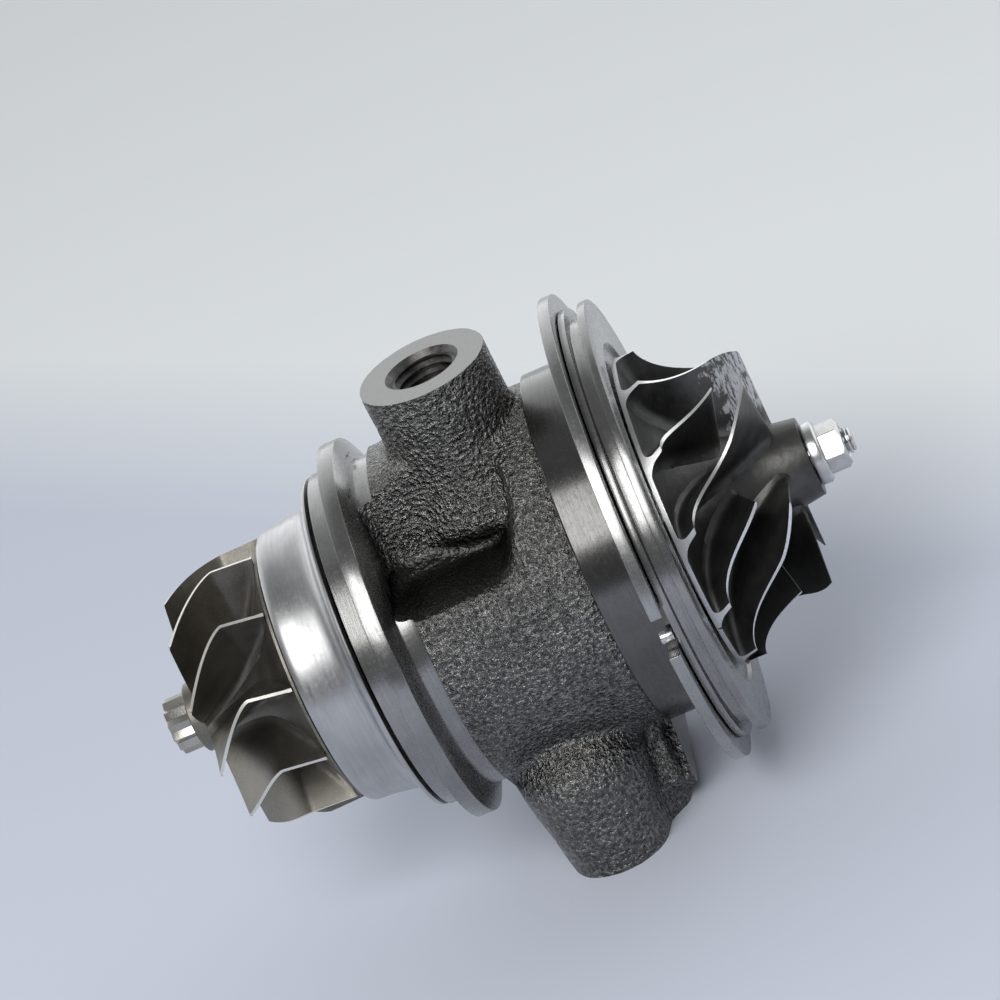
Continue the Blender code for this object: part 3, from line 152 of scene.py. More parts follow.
# Casting surface
CAST_BLOCK_VOXEL = 0.8
CAST_BLOCK_PASSES = 6
CAST_VOXEL = 0.46
CAST_PASSES = 4
CAST_EXTRA = 3.0  # cast past a face that is machined back
CAST_GRAIN = 0.9
CAST_RELIEF = 0.07
CAST_WAVE = 5.0
CAST_WAVE_RELIEF = 0.16

# Turbine wheel
TURBINE_BLADES = 11
TURBINE_BLADE_AT_DEG = 57.5
TURBINE_BACK = -67.4
TURBINE_DISC_THICKNESS = 0.45
TURBINE_DISC_RADIUS = 23.3
TURBINE_TIP_RADIUS = 24.1
TURBINE_TIP_WIDTH = 7.65
TURBINE_EXIT_RADIUS = 21.2
TURBINE_TIP_RUN = 10.1
TURBINE_LENGTH = 22.6
TURBINE_HUB_RUNOUT = 2.2
TURBINE_HUB_SWELL = 1.2
TURBINE_HUB_END_RADIUS = 6.2
TURBINE_TWIST_DEG = 27.0
NOSE_LENGTH = 4.2
NOSE_RADIUS = 5.0
NOSE_FLUTE_SHARE = 0.86

# Heat shield
SHIELD_BACK = -55.3
SHIELD_DEPTH = 11.95
SHIELD_RIM = 30.2
SHIELD_BODY = 25.6
SHIELD_CORNER = 24.5
SHIELD_HOLE = 9.5
SHIELD_SHEET = 1.0

# Compressor wheel
COMPRESSOR_BLADES = 6
COMPRESSOR_BLADE_AT_DEG = 49.75
COMPRESSOR_BACK = 0.15
COMPRESSOR_DISC_THICKNESS = 0.75
COMPRESSOR_RADIUS = 28.0
COMPRESSOR_EXIT_WIDTH = 3.1
COMPRESSOR_INLET_RADIUS = 21.5
COMPRESSOR_INLET_RUN = 5.0
COMPRESSOR_HUB_RADIUS = 6.9
COMPRESSOR_LENGTH = 23.85
COMPRESSOR_NOSE = COMPRESSOR_BACK + COMPRESSOR_LENGTH
LEADING_SETBACK = 4.6
SPLITTER_START = 0.285
COMPRESSOR_WRAP_DEG = 50.75
TRAILING_RAKE_DEG = 6.0
BLADE_SINK = 0.6
BLADE_OVERSHOOT = 0.9
EDGE_LEAD = 0.02
BLADE_PAST_RIM = 1.04
WHEEL_BORE = 3.3

# Nut and shaft end
NUT_SEAT = COMPRESSOR_NOSE + PLAY
NUT_COLLAR_RADIUS = 5.45
NUT_COLLAR_THICKNESS = 2.1
NUT_ACROSS_FLATS = 7.6
NUT_HEX_HEIGHT = 3.8
NUT_END = NUT_SEAT + NUT_COLLAR_THICKNESS + NUT_HEX_HEIGHT
SHAFT_END = NUT_END + 1.5
SHAFT_THREAD_RADIUS = 2.4
SHAFT_THREAD_PITCH = 0.8
SHAFT_NECK_RADIUS = 3.0
SHAFT_NECK_END = -19.9
JOURNAL_RADIUS = 4.0
JOURNAL_END = -52.6
SEAL_HUB_RADIUS = 7.8
SEAL_GROOVE_RADIUS = 6.6
SEAL_GROOVE_FRONT = -57.0
SEAL_GROOVE_WIDTH = 1.6

# Pale streaks on the first compressor blade
SCUFF_STATION = 14.6

# Facets and edges
ROUND_STEPS = 192
MEDIUM_STEPS = 96
SMALL_STEPS = 64
EDGE_ROUNDING = 0.14
SHARP_DEG = 34.0

# Light and camera, in metres, watts and radians, with the lens in millimetres. The room has an
# even level, and its far side glows
KEY_PLACE = (-0.22, -0.78, 0.84)
KEY_TARGET = (0, 0, 0.045)
KEY_SIZE = (0.8, 0.75)
KEY_POWER = 9.0
ROOM_LEVEL = 0.2
ROOM_GLOW = 1.8
CAMERA_PLACE = (0.10121996, -0.62493372, 0.35210949)
CAMERA_TURN = (1.09208405, 0.42456949, -0.05798874)
CAMERA_LENS = 149.94

# The floor turns paler past a line across it, in metres from the middle
FLOOR_AWAY = Vector((0.707, 0.707, 0))
FLOOR_EDGE = 0.0975


def at(station, y, height):
    """A point from its station, its side and its height over the axis."""
    return Vector((STATION_ZERO + station, y, AXIS_HEIGHT + height)) * MM


def round_at(station, radius, degrees):
    angle = math.radians(degrees)
    return at(station, radius * math.cos(angle), radius * math.sin(angle))


# Mesh tools


def spun(profile, closed=True, steps=ROUND_STEPS, rounding=0.0, finish=0):
    """A turned shape from (station, radius) points. An open profile starts and ends on the axis."""
    bm = bmesh.new()
    verts = [bm.verts.new(at(station, 0, radius)) for station, radius in profile]
    edges = [bm.edges.new(pair) for pair in zip(verts, verts[1:])]
    if closed:
        edges.append(bm.edges.new((verts[-1], verts[0])))
    bmesh.ops.spin(
        bm, geom=verts + edges, cent=AXIS_POINT, axis=(1, 0, 0), angle=2 * math.pi,
        steps=steps, use_merge=True,
    )
    bmesh.ops.remove_doubles(bm, verts=bm.verts[:], dist=0.00001)
    bmesh.ops.recalc_face_normals(bm, faces=bm.faces[:])
    if rounding:
        round_edges(bm, rounding)
    return finished(bm, finish)


def finished(bm, finish):
    """Gives every face the finish with that number."""
    for face in bm.faces:
        face.material_index = finish
    return bm


def round_edges(bm, width, limit_deg=25.0, segments=2):
    sharp = []
    for edge in bm.edges:
        if len(edge.link_faces) == 2 and edge.calc_face_angle(0) > math.radians(limit_deg):
            sharp.append(edge)
    bmesh.ops.bevel(
        bm, geom=sharp, offset=width * MM, segments=segments, profile=0.5, affect="EDGES",
        clamp_overlap=True, material=-1,
    )


def block(low, high, rounding=0.0, finish=0):
    bm = bmesh.new()
    size = Vector(high) - Vector(low)
    middle = (Vector(high) + Vector(low)) / 2
    place = Matrix.Translation(at(*middle)) @ Matrix.Diagonal((*(size * MM), 1))
    bmesh.ops.create_cube(bm, size=1, matrix=place)
    if rounding:
        round_edges(bm, rounding, segments=4)
    return finished(bm, finish)


def prism(outline, run, finish=0):
    """A flat outline of (station, side, height) points, extruded by a vector."""
    bm = bmesh.new()
    face = bm.faces.new([bm.verts.new(at(*point)) for point in outline])
    grown = bmesh.ops.extrude_face_region(bm, geom=[face])["geom"]
    tops = [item for item in grown if isinstance(item, bmesh.types.BMVert)]
    bmesh.ops.translate(bm, verts=tops, vec=Vector(run) * MM)
    bmesh.ops.recalc_face_normals(bm, faces=bm.faces[:])
    return finished(bm, finish)


def stood_up(bm, station, y=0.0):
    """Turns a shape spun about the shaft to stand upright at a place on the housing.

    Its stations become heights over the axis.
    """
    zero = at(0, 0, 0)
    turn = Matrix.Rotation(-math.pi / 2, 4, "Y")
    place = Matrix.Translation(at(station, y, 0)) @ turn @ Matrix.Translation(-zero)
    return moved_to(bm, place)


def moved_to(bm, matrix):
    bmesh.ops.transform(bm, matrix=matrix, verts=bm.verts[:])
    return bm


def turned(bm, degrees):
    """Turns a shape about the shaft."""
    turn = Matrix.Rotation(math.radians(degrees), 4, "X")
    return moved_to(bm, Matrix.Translation(AXIS_POINT) @ turn @ Matrix.Translation(-AXIS_POINT))


def as_object(name, bm, finishes=()):
    mesh = bpy.data.meshes.new(name)
    bm.to_mesh(mesh)
    bm.free()
    for finish in finishes:
        mesh.materials.append(finish)
    obj = bpy.data.objects.new(name, mesh)
    bpy.context.scene.collection.objects.link(obj)
    return obj


def settle(obj):
    """Applies the object's modifiers to its mesh."""
    bpy.context.view_layer.update()
    graph = bpy.context.evaluated_depsgraph_get()
    mesh = bpy.data.meshes.new_from_object(obj.evaluated_get(graph), depsgraph=graph)
    obj.modifiers.clear()
    old = obj.data
    obj.data = mesh
    mesh.name = old.name
    bpy.data.meshes.remove(old)
    return obj


def reshaped(obj, change):
    """Lets a function work on the object's mesh."""
    bm = bmesh.new()
    bm.from_mesh(obj.data)
    change(bm)
    bm.to_mesh(obj.data)
    bm.free()
    return obj


def combine(obj, operation, *tools):
    """Joins or cuts with finished shapes, which are used up."""
    for tool in tools:
        if isinstance(tool, bmesh.types.BMesh):
            tool = as_object("tool", tool)
        if not tool.data.materials:
            for slot in obj.material_slots:
                tool.data.materials.append(slot.material)
        step = obj.modifiers.new("Combine", "BOOLEAN")
        step.operation = operation
        step.solver = "MANIFOLD"
        step.object = tool
        settle(obj)
        bpy.data.objects.remove(tool)
    return obj


def shade(obj, sharp_deg=SHARP_DEG):
    mesh = obj.data
    mesh.polygons.foreach_set("use_smooth", [True] * len(mesh.polygons))
    mesh.set_sharp_from_angle(angle=math.radians(sharp_deg))
    return obj


def arc(centre, radius, start_deg, end_deg, count):
    points = []
    for i in range(count + 1):
        angle = math.radians(start_deg + (end_deg - start_deg) * i / count)
        points.append((centre[0] + radius * math.cos(angle), centre[1] + radius * math.sin(angle)))
    return points


# Material tools


def set_inputs(tree, node, inputs):
    """Each input is another node's socket, or a value."""
    for key, value in inputs.items():
        if isinstance(value, bpy.types.NodeSocket):
            tree.links.new(value, node.inputs[key])
        else:
            node.inputs[key].default_value = value


def add(tree, kind, inputs=None, **settings):
    """A shader node with its settings and its inputs."""
    made = tree.nodes.new("ShaderNode" + kind)
    for key, value in settings.items():
        setattr(made, key, value)
    set_inputs(tree, made, inputs or {})
    return made


def new_finish(name):
    made = bpy.data.materials.new(name)
    made.use_nodes = True
    return made, made.node_tree, made.node_tree.nodes["Principled BSDF"]


def maths(tree, operation, first, second=0.0, clamp=False):
    inputs = {0: first, 1: second}
    return add(tree, "Math", inputs, operation=operation, use_clamp=clamp).outputs[0]


def object_place(tree):
    """Object coordinates in millimetres, from the shaft's axis."""
    coords = add(tree, "TexCoord").outputs["Object"]
    centred = add(tree, "VectorMath", {0: coords, 1: AXIS_POINT}, operation="SUBTRACT").outputs[0]
    spread = {0: centred, "Scale": 1 / MM}
    return add(tree, "VectorMath", spread, operation="SCALE").outputs[0]


def shaft_place(tree):
    """(place in mm, distance from the axis, unit direction from the axis)."""
    place = object_place(tree)
    across = add(tree, "VectorMath", {0: place, 1: (0, 1, 1)}, operation="MULTIPLY").outputs[0]
    radius = add(tree, "VectorMath", {0: across}, operation="LENGTH").outputs["Value"]
    out = add(tree, "VectorMath", {0: across}, operation="NORMALIZE").outputs[0]
    return place, radius, out


def noise_at(tree, place, scale, detail=3.0, rough=0.55, stretch=None):
    if stretch:
        place = add(tree, "Mapping", {"Vector": place, "Scale": stretch}).outputs[0]
    inputs = {"Vector": place, "Scale": scale, "Detail": detail, "Roughness": rough}
    return add(tree, "TexNoise", inputs).outputs["Fac"]


def ramp(tree, value, *stops):
    """A colour ramp from (position, grey or colour) stops."""
    made = add(tree, "ValToRGB", {0: value})
    elements = made.color_ramp.elements
    while len(elements) < len(stops):
        elements.new(0.5)
    for element, (position, colour) in zip(elements, stops):
        element.position = position
        if isinstance(colour, (int, float)):
            colour = (colour, colour, colour)
        element.color = (*colour, 1)
    return made.outputs[0]


def span(tree, value, low, high, to_low=0.0, to_high=1.0):
    inputs = {"Value": value, 1: low, 2: high, 3: to_low, 4: to_high}
    return add(tree, "MapRange", inputs, clamp=True).outputs[0]


def blend_colours(tree, share, first, second, mode="MIX"):
    made = add(tree, "Mix", data_type="RGBA", blend_type=mode, clamp_factor=True)
    for index, value in ((0, share), (6, first), (7, second)):
        if isinstance(value, bpy.types.NodeSocket):
            tree.links.new(value, made.inputs[index])
        elif index == 0:
            made.inputs[index].default_value = value
        else:
            made.inputs[index].default_value = (*value, 1)
    return made.outputs[2]


def bump(tree, height, distance, strength=1.0, under=None):
    """Bump from a height in units of distance, in millimetres."""
    inputs = {"Height": height, "Distance": distance * MM, "Strength": strength}
    if under:
        inputs["Normal"] = under
    return add(tree, "Bump", inputs).outputs[0]


def lathe_lines(tree, lines_per_mm, wander=1.5):
    """Fine lines left by a turning tool: noise in (station, radius), nearly even round the axis."""
    place, radius, out = shaft_place(tree)
    station = add(tree, "SeparateXYZ", {0: place}).outputs["X"]
    around = add(tree, "SeparateXYZ", {0: out}).outputs
    flat = add(
        tree, "CombineXYZ",
        {0: station, 1: radius, 2: maths(tree, "MULTIPLY", around["Y"], wander)},
    ).outputs[0]
    fourth = maths(tree, "MULTIPLY", around["Z"], wander)
    fine = add(
        tree, "TexNoise",
        {"Vector": flat, "W": fourth, "Scale": lines_per_mm, "Detail": 3.0, "Roughness": 0.6},
        noise_dimensions="4D",
    ).outputs["Fac"]
    return fine


def across_turning(tree):
    """Tangent that crosses the turning lines, so the shine spreads that way."""
    out = shaft_place(tree)[2]
    normal = add(tree, "NewGeometry").outputs["Normal"]
    around = add(tree, "VectorMath", {0: (1, 0, 0), 1: out}, operation="CROSS_PRODUCT").outputs[0]
    across = add(tree, "VectorMath", {0: around, 1: normal}, operation="CROSS_PRODUCT")
    return add(tree, "VectorMath", {0: across.outputs[0]}, operation="NORMALIZE").outputs[0]


def surface(tree, shader, colour, rough, normal, metallic=1.0):
    set_inputs(tree, shader, {"Base Color": colour, "Metallic": metallic, "Roughness": rough,
                              "Normal": normal})


# Finishes


def raw_casting():
    """Sand-cast iron, blasted: fine bright grain on a dark ground, and a smooth hollow under the boss edge
    whose near-black colour is painted shade.
    """
    made, tree, shader = new_finish("raw_casting")
    place = object_place(tree)
    parts = add(tree, "SeparateXYZ", {0: place}).outputs
    grain = noise_at(tree, place, 1.35, 1.0, 0.5)
    fine = noise_at(tree, place, 4.5, 2.0, 0.55)
    broad = noise_at(tree, place, 0.12, 2.0, 0.5)
    tops = maths(tree, "ADD", maths(tree, "MULTIPLY", grain, 0.55), maths(tree, "MULTIPLY", fine, 0.45))
    colour = ramp(tree, span(tree, tops, 0.36, 0.64), (0.0, (0.08, 0.078, 0.074)),
                  (0.5, (0.16, 0.157, 0.15)), (1.0, (0.36, 0.353, 0.335)))
    # Painted shade: the pocket under the boss edge, between the pocket floor and its slope, is blended to
    # near black.
    under_edge = span(tree, parts["Z"], BOSS_EDGE - 0.6, BOSS_EDGE - 2.2)
    over_floor = span(tree, parts["Z"], POCKET_FLOOR - 2.0, POCKET_FLOOR - 0.5)
    before_wall = span(tree, parts["X"], STATION_ZERO + POCKET_SLOPE_END, STATION_ZERO + POCKET_FLOOR_END)
    hollow = maths(tree, "MULTIPLY", maths(tree, "MULTIPLY", under_edge, over_floor), before_wall)
    shaded = blend_colours(tree, maths(tree, "MULTIPLY", hollow, 0.9), colour, (0.025, 0.025, 0.024))
    tint = blend_colours(tree, span(tree, broad, 0.42, 0.7, 0.0, 0.3), shaded, (0.06, 0.058, 0.055))
    rough = span(tree, fine, 0.35, 0.65, 0.32, 0.2)
    height = maths(tree, "ADD", grain, maths(tree, "MULTIPLY", fine, 0.3))
    calm = maths(tree, "SUBTRACT", 1.0, maths(tree, "MULTIPLY", hollow, 0.7))
    normal = bump(tree, maths(tree, "MULTIPLY", height, calm), 0.75, 1.0)
    surface(tree, shader, tint, rough, normal)
    return made


def turned_metal(name, colour, roughness, lines, depth, anisotropy=0.6, stain=0.25):
    """Lathe-turned metal with tool lines, light scuffs and a cloudy stain."""
    made, tree, shader = new_finish(name)
    fine = lathe_lines(tree, lines)
    place = object_place(tree)
    cloud = noise_at(tree, place, 0.14, 4.0, 0.6)
    specks = noise_at(tree, place, 1.3, 3.0, 0.7)
    dark = tuple(c * 0.62 for c in colour)
    stained = blend_colours(tree, span(tree, cloud, 0.42, 0.72, 0.0, stain * 2), colour, dark)
    lined = blend_colours(tree, span(tree, fine, 0.35, 0.7, 0.0, 0.35), stained, dark)
    rough = maths(
        tree, "ADD", span(tree, fine, 0.3, 0.7, roughness * 0.8, roughness * 1.15),
        span(tree, specks, 0.5, 0.75, 0.0, 0.12),
    )
    normal = bump(tree, fine, depth, 0.7)
    surface(tree, shader, lined, rough, normal)
    set_inputs(tree, shader, {"Anisotropic": anisotropy, "Tangent": across_turning(tree)})
    return made


def milled_iron():
    """Faced top of the oil boss and the drain face: flat grey with fine straight tool marks."""
    made, tree, shader = new_finish("milled_iron")
    place = object_place(tree)
    marks = noise_at(tree, place, 1.0, 3.0, 0.6, stretch=(5.0, 0.6, 0.6))
    pores = noise_at(tree, place, 2.2, 3.0, 0.7)
    base = ramp(tree, marks, (0.3, (0.27, 0.268, 0.262)), (0.7, (0.35, 0.348, 0.342)))
    colour = blend_colours(tree, span(tree, pores, 0.62, 0.75), base, (0.12, 0.118, 0.115))
    rough = span(tree, marks, 0.3, 0.7, 0.34, 0.46)
    normal = bump(tree, marks, 0.02, 0.6)
    surface(tree, shader, colour, rough, normal)
    return made


def dark_bore():
    """Drilled and threaded holes: darker metal, whose dark colour is painted shade for the insides of the
    holes.
    """
    made, tree, shader = new_finish("dark_bore")
    place = object_place(tree)
    cloud = noise_at(tree, place, 0.6, 4.0, 0.6)
    # Painted shade: the holes' colours are kept darker than the metal around them.
    colour = ramp(tree, cloud, (0.3, (0.05, 0.048, 0.046)), (0.7, (0.16, 0.155, 0.15)))
    rough = span(tree, cloud, 0.3, 0.7, 0.3, 0.5)
    normal = bump(tree, noise_at(tree, place, 3.0, 2.0), 0.05, 0.5)
    surface(tree, shader, colour, rough, normal)
    return made


def turbine_alloy():
    """Investment-cast nickel alloy, blasted to an even warm grey."""
    made, tree, shader = new_finish("turbine_alloy")
    place = object_place(tree)
    grain = noise_at(tree, place, 5.0, 3.0, 0.7)
    cloud = noise_at(tree, place, 0.22, 4.0, 0.6)
    colour = ramp(tree, cloud, (0.3, (0.15, 0.141, 0.122)), (0.7, (0.235, 0.22, 0.192)))
    speckled = blend_colours(tree, span(tree, grain, 0.45, 0.7, 0.0, 0.5), colour, (0.38, 0.36, 0.315))
    rough = span(tree, cloud, 0.3, 0.7, 0.36, 0.46)
    normal = bump(tree, grain, 0.06, 0.8)
    surface(tree, shader, speckled, rough, normal, metallic=0.95)
    return made


def ground_edge(name, colour, roughness):
    """Freshly ground blade edge with fine scratches across it."""
    made, tree, shader = new_finish(name)
    place = object_place(tree)
    scratch = noise_at(tree, place, 6.0, 2.0, 0.6)
    dull = tuple(c * 0.75 for c in colour)
    base = blend_colours(tree, span(tree, scratch, 0.4, 0.7), colour, dull)
    rough = span(tree, scratch, 0.3, 0.7, roughness * 0.85, roughness * 1.2)
    normal = bump(tree, scratch, 0.02, 0.6)
    surface(tree, shader, base, rough, normal)
    return made


def scuffs(tree, place):
    """Pale streaks rubbed on the first blade, behind its front edge."""
    parts = add(tree, "SeparateXYZ", {0: place}).outputs
    station = maths(tree, "SUBTRACT", parts["X"], STATION_ZERO)
    wander = span(tree, noise_at(tree, place, 0.35, 3.0, 0.6), 0.3, 0.7, -2.5, 2.5)
    along = span(tree, maths(tree, "ADD", station, wander), SCUFF_STATION - 0.5, SCUFF_STATION + 0.5)
    across = maths(tree, "MULTIPLY", span(tree, parts["Y"], 0.0, 1.5), span(tree, parts["Z"], 8.0, 9.5))
    streak = noise_at(tree, place, 1.4, 4.0, 0.65, stretch=(2.6, 0.4, 0.4))
    patch = maths(tree, "MULTIPLY", along, across)
    return maths(tree, "MULTIPLY", patch, span(tree, streak, 0.4, 0.52))


def cast_aluminium():
    """Dark cast aluminium of the compressor wheel, lightly hammered, with a smoky film."""
    made, tree, shader = new_finish("cast_aluminium")
    place = object_place(tree)
    cloud = noise_at(tree, place, 0.2, 4.0, 0.55)
    grain = noise_at(tree, place, 4.0, 2.0, 0.6)
    dimple = noise_at(tree, place, 0.9, 2.0, 0.5)
    colour = ramp(tree, cloud, (0.3, (0.07, 0.069, 0.067)), (0.7, (0.13, 0.128, 0.124)))
    marks = scuffs(tree, place)
    colour = blend_colours(tree, marks, colour, (0.5, 0.52, 0.55))
    smoky = span(tree, cloud, 0.3, 0.7, 0.36, 0.46)
    rough = maths(tree, "ADD", smoky, maths(tree, "MULTIPLY", marks, 0.15))
    metallic = maths(tree, "SUBTRACT", 0.9, maths(tree, "MULTIPLY", marks, 0.7))
    height = maths(tree, "ADD", maths(tree, "MULTIPLY", grain, 0.2), dimple)
    normal = bump(tree, height, 0.1, 0.6)
    surface(tree, shader, colour, rough, normal, metallic=metallic)
    return made


def plain_metal(name, colour, roughness, cloud_scale=0.3, depth=0.03):
    """Ground or plated metal with faint clouds, scuffs and tiny pits."""
    made, tree, shader = new_finish(name)
    place = object_place(tree)
    cloud = noise_at(tree, place, cloud_scale, 4.0, 0.6)
    pits = noise_at(tree, place, 4.0, 3.0, 0.7)
    dull = tuple(c * 0.7 for c in colour)
    base = blend_colours(tree, span(tree, cloud, 0.45, 0.75, 0.0, 0.6), colour, dull)
    rough = span(tree, cloud, 0.3, 0.7, roughness * 0.85, roughness * 1.25)
    normal = bump(tree, pits, depth, 0.6)
    surface(tree, shader, base, rough, normal)
    return made


def seal_rubber():
    made, tree, shader = new_finish("seal_rubber")
    place = object_place(tree)
    grain = noise_at(tree, place, 3.0, 3.0, 0.6)
    colour = ramp(tree, grain, (0.3, (0.012, 0.012, 0.012)), (0.7, (0.03, 0.03, 0.03)))
    rough = span(tree, grain, 0.3, 0.7, 0.55, 0.75)
    set_inputs(tree, shader, {"Base Color": colour, "Roughness": rough,
                              "Normal": bump(tree, grain, 0.02, 0.5)})
    return made


# Bearing housing

CAST, TURNED, MILLED, BORE, SATIN = range(5)


def housing_finishes():
    """In the order of the numbers above."""
    return [
        raw_casting(),
        turned_metal("turned_iron", (0.15, 0.148, 0.144), 0.24, 5.0, 0.02),
        milled_iron(),
        dark_bore(),
        turned_metal("turned_satin", (0.34, 0.338, 0.332), 0.26, 5.0, 0.02),
    ]


def rough_barrel():
    """Round body of the casting between the two turned flanges."""
    front = CONE_FOOT - CONE_THICKNESS
    return spun(
        [(SPIGOT_END + 1.5, 0), (SPIGOT_END + 1.5, BARREL_RADIUS), (front, BARREL_RADIUS), (front, 0)],
        closed=False, steps=MEDIUM_STEPS,
    )


def pocket_cutter():
    """Hollow on both sides of the oil boss."""
    top = 2 * BARREL_RADIUS
    reach = 1.5 * BARREL_RADIUS
    outline = [
        (RIM_FRONT, -reach, POCKET_FLOOR), (POCKET_FLOOR_END, -reach, POCKET_FLOOR),
        (POCKET_SLOPE_END, -reach, POCKET_FLOOR + POCKET_SLOPE_RISE), (POCKET_SLOPE_END, -reach, top),
        (RIM_FRONT, -reach, top),
    ]
    shape = prism(outline, (0, 2 * reach, 0))
    round_edges(shape, POCKET_CORNER, segments=6)
    hollow = as_object("pocket", shape)
    fillet = arc((CONE_FOOT + TOOL_FILLET, CORE_RADIUS + TOOL_FILLET), TOOL_FILLET, 270, 180, 6)
    core = spun(
        [(5, 0), (5, CORE_RADIUS), *fillet, (CONE_FOOT, CONE_FOOT_RADIUS - 1),
         (RIM_BACK, RIM_RADIUS + 2), (TURBINE_FACE, RIM_RADIUS + 2), (TURBINE_FACE, 0)],
        closed=False, steps=MEDIUM_STEPS,
    )
    return combine(hollow, "DIFFERENCE", core)


def oil_block():
    """Block with drafted sides between the boss and the turbine flange."""
    front = CONE_FOOT - CONE_THICKNESS / 2
    wide = BLOCK_HALF_WIDTH
    narrow = wide - BLOCK_DRAFT
    low = CORE_RADIUS / 2
    outline = [(front, -wide, low), (front, wide, low), (front, wide, BOSS_EDGE),
               (front, narrow, BLOCK_HEIGHT), (front, -narrow, BLOCK_HEIGHT), (front, -wide, BOSS_EDGE)]
    return prism(outline, (BLOCK_END - front, 0, 0))


def tool_path(top):
    """What the lathe clears behind the turbine flange, up to the radius top."""
    centre = (CONE_FOOT + TOOL_RUN, CONE_FOOT_RADIUS + TOOL_FILLET)
    sweep = arc(centre, TOOL_FILLET, -90, 0, 10)
    return spun(
        [(RIM_FRONT, top), (RIM_FRONT, RIM_RADIUS + 0.45), (RIM_BACK + 0.15, RIM_RADIUS + 0.15),
         (CONE_FOOT + 0.15, CONE_FOOT_RADIUS)] + sweep + [(centre[0] + TOOL_FILLET, top)],
        finish=CAST,
    )


def tool_groove():
    """The lathe's light cut right round the barrel."""
    back = CONE_FOOT + GROOVE_RUN
    top = BARREL_RADIUS + 0.9
    return spun(
        [(RIM_BACK, top), (RIM_BACK, TOOL_FLOOR_RADIUS), (back, TOOL_FLOOR_RADIUS),
         (back + 0.6, TOOL_FLOOR_RADIUS + 0.2), (back + 1.1, top)],
        finish=SATIN,
    )


def tool_path_below_boss(finishes):
    """The lathe's path over the axis, kept clear of the boss."""
    path = as_object("tool_path", tool_path(CONE_FOOT_RADIUS + BLOCK_HEIGHT), finishes)
    wide = 2 * RIM_RADIUS
    upper = block((RIM_FRONT - 1, -wide, 0), (0, wide, 2 * wide))
    combine(path, "INTERSECT", upper)
    keep = stood_up(
        spun([(BOSS_HEIGHT + 20, 0), (BOSS_HEIGHT + 20, BOSS_RADIUS + 1.3),
              (CORE_RADIUS, BOSS_RADIUS + 1.6), (CORE_RADIUS, 0)], closed=False, steps=SMALL_STEPS),
        BOSS_STATION,
    )
    return combine(path, "DIFFERENCE", keep)


def oil_boss():
    """Round boss whose foot flares out to an edge over the pocket's floor."""
    start = BOSS_HEIGHT - BOSS_FLARE_DROP
    wide = BOSS_RADIUS + BOSS_FLARE
    flare = []
    for i in range(9):
        f = i / 8
        flare.append((start + (BOSS_EDGE - start) * f, BOSS_RADIUS + BOSS_FLARE * f ** 1.7))
    bm = spun(
        [(BOSS_HEIGHT + CAST_EXTRA, 0), (BOSS_HEIGHT + CAST_EXTRA, BOSS_RADIUS - 0.1)] + flare
        + [(BOSS_EDGE - 1.2, wide - 0.6), (POCKET_FLOOR - 2, wide - 1.6), (POCKET_FLOOR - 2, 0)],
        closed=False, steps=MEDIUM_STEPS,
    )
    return stood_up(bm, BOSS_STATION)


def drain_lobe(side):
    reach = LOBE_RADIUS + LOBE_DRAFT
    base = -LOBE_TOP_DROP - LOBE_DOME
    dome = []
    for degrees in (90, 75, 60, 45, 30, 15):
        angle = math.radians(degrees)
        dome.append((base + LOBE_DOME * math.sin(angle), reach * math.cos(angle)))
    bm = spun(
        dome + [(base, reach), (-DRAIN_DROP, LOBE_RADIUS), (-DRAIN_DROP - CAST_EXTRA, LOBE_RADIUS),
                (-DRAIN_DROP - CAST_EXTRA, 0)],
        closed=False, steps=MEDIUM_STEPS,
    )
    return stood_up(bm, DRAIN_STATION, side * DRAIN_BOLT_REACH)


def drain_neck():
    top = 1 - CORE_RADIUS
    half = NECK_HALF_WIDTH
    narrow = half * 0.55
    front = DRAIN_STATION - LOBE_RADIUS - 1.2
    back = WEB_STATION - WEB_THICKNESS - 1.2
    low = -DRAIN_DROP - CAST_EXTRA
    outline = [(front, -half, low), (front, half, low), (front, half, -DRAIN_DROP),
               (front, narrow, top), (front, -narrow, top), (front, -half, -DRAIN_DROP)]
    return prism(outline, (back - front, 0, 0))


def drain_cheeks():
    """Metal that fills the corner between the lobes and the web."""
    front = DRAIN_STATION - CHEEK_REACH
    back = WEB_STATION - WEB_THICKNESS / 2
    low = 4 - DRAIN_DROP
    top = -LOBE_TOP_DROP - LOBE_DOME / 2
    wide = CHEEK_HALF_WIDTH
    web = WEB_HALF_WIDTH - 2
    narrow = CHEEK_TOP_HALF_WIDTH
    outline = [(front, -web, low - 1), (front, web, low - 1), (front, wide, low + 2),
               (front, narrow, top), (front, -narrow, top), (front, -wide, low + 2)]
    return prism(outline, (back - front, 0, 0))


def drain_web():
    half = WEB_HALF_WIDTH
    narrow = half * 0.55
    top = 2 - SPIGOT_RADIUS
    back = WEB_STATION - WEB_THICKNESS
    outline = [
        (back, -half, 2 - WEB_DROP), (back, 2 - half, -WEB_DROP), (back, half - 2, -WEB_DROP),
        (back, half, 2 - WEB_DROP), (back, narrow, top), (back, -narrow, top),
    ]
    return prism(outline, (WEB_THICKNESS + CAST_EXTRA / 2, 0, 0))


def drain_foot():
    half = DRAIN_BOLT_REACH - 1.4
    front = DRAIN_STATION - LOBE_RADIUS + PLAY
    back = DRAIN_STATION + LOBE_RADIUS + 1
    web = WEB_STATION - WEB_THICKNESS + 1
    narrow = WEB_HALF_WIDTH - 2
    low = -DRAIN_DROP - CAST_EXTRA
    outline = [(front, -half, low), (front, half, low), (back, half, low), (web, narrow, low),
               (web, -narrow, low), (back, -half, low)]
    return prism(outline, (0, 0, 4 + CAST_EXTRA))


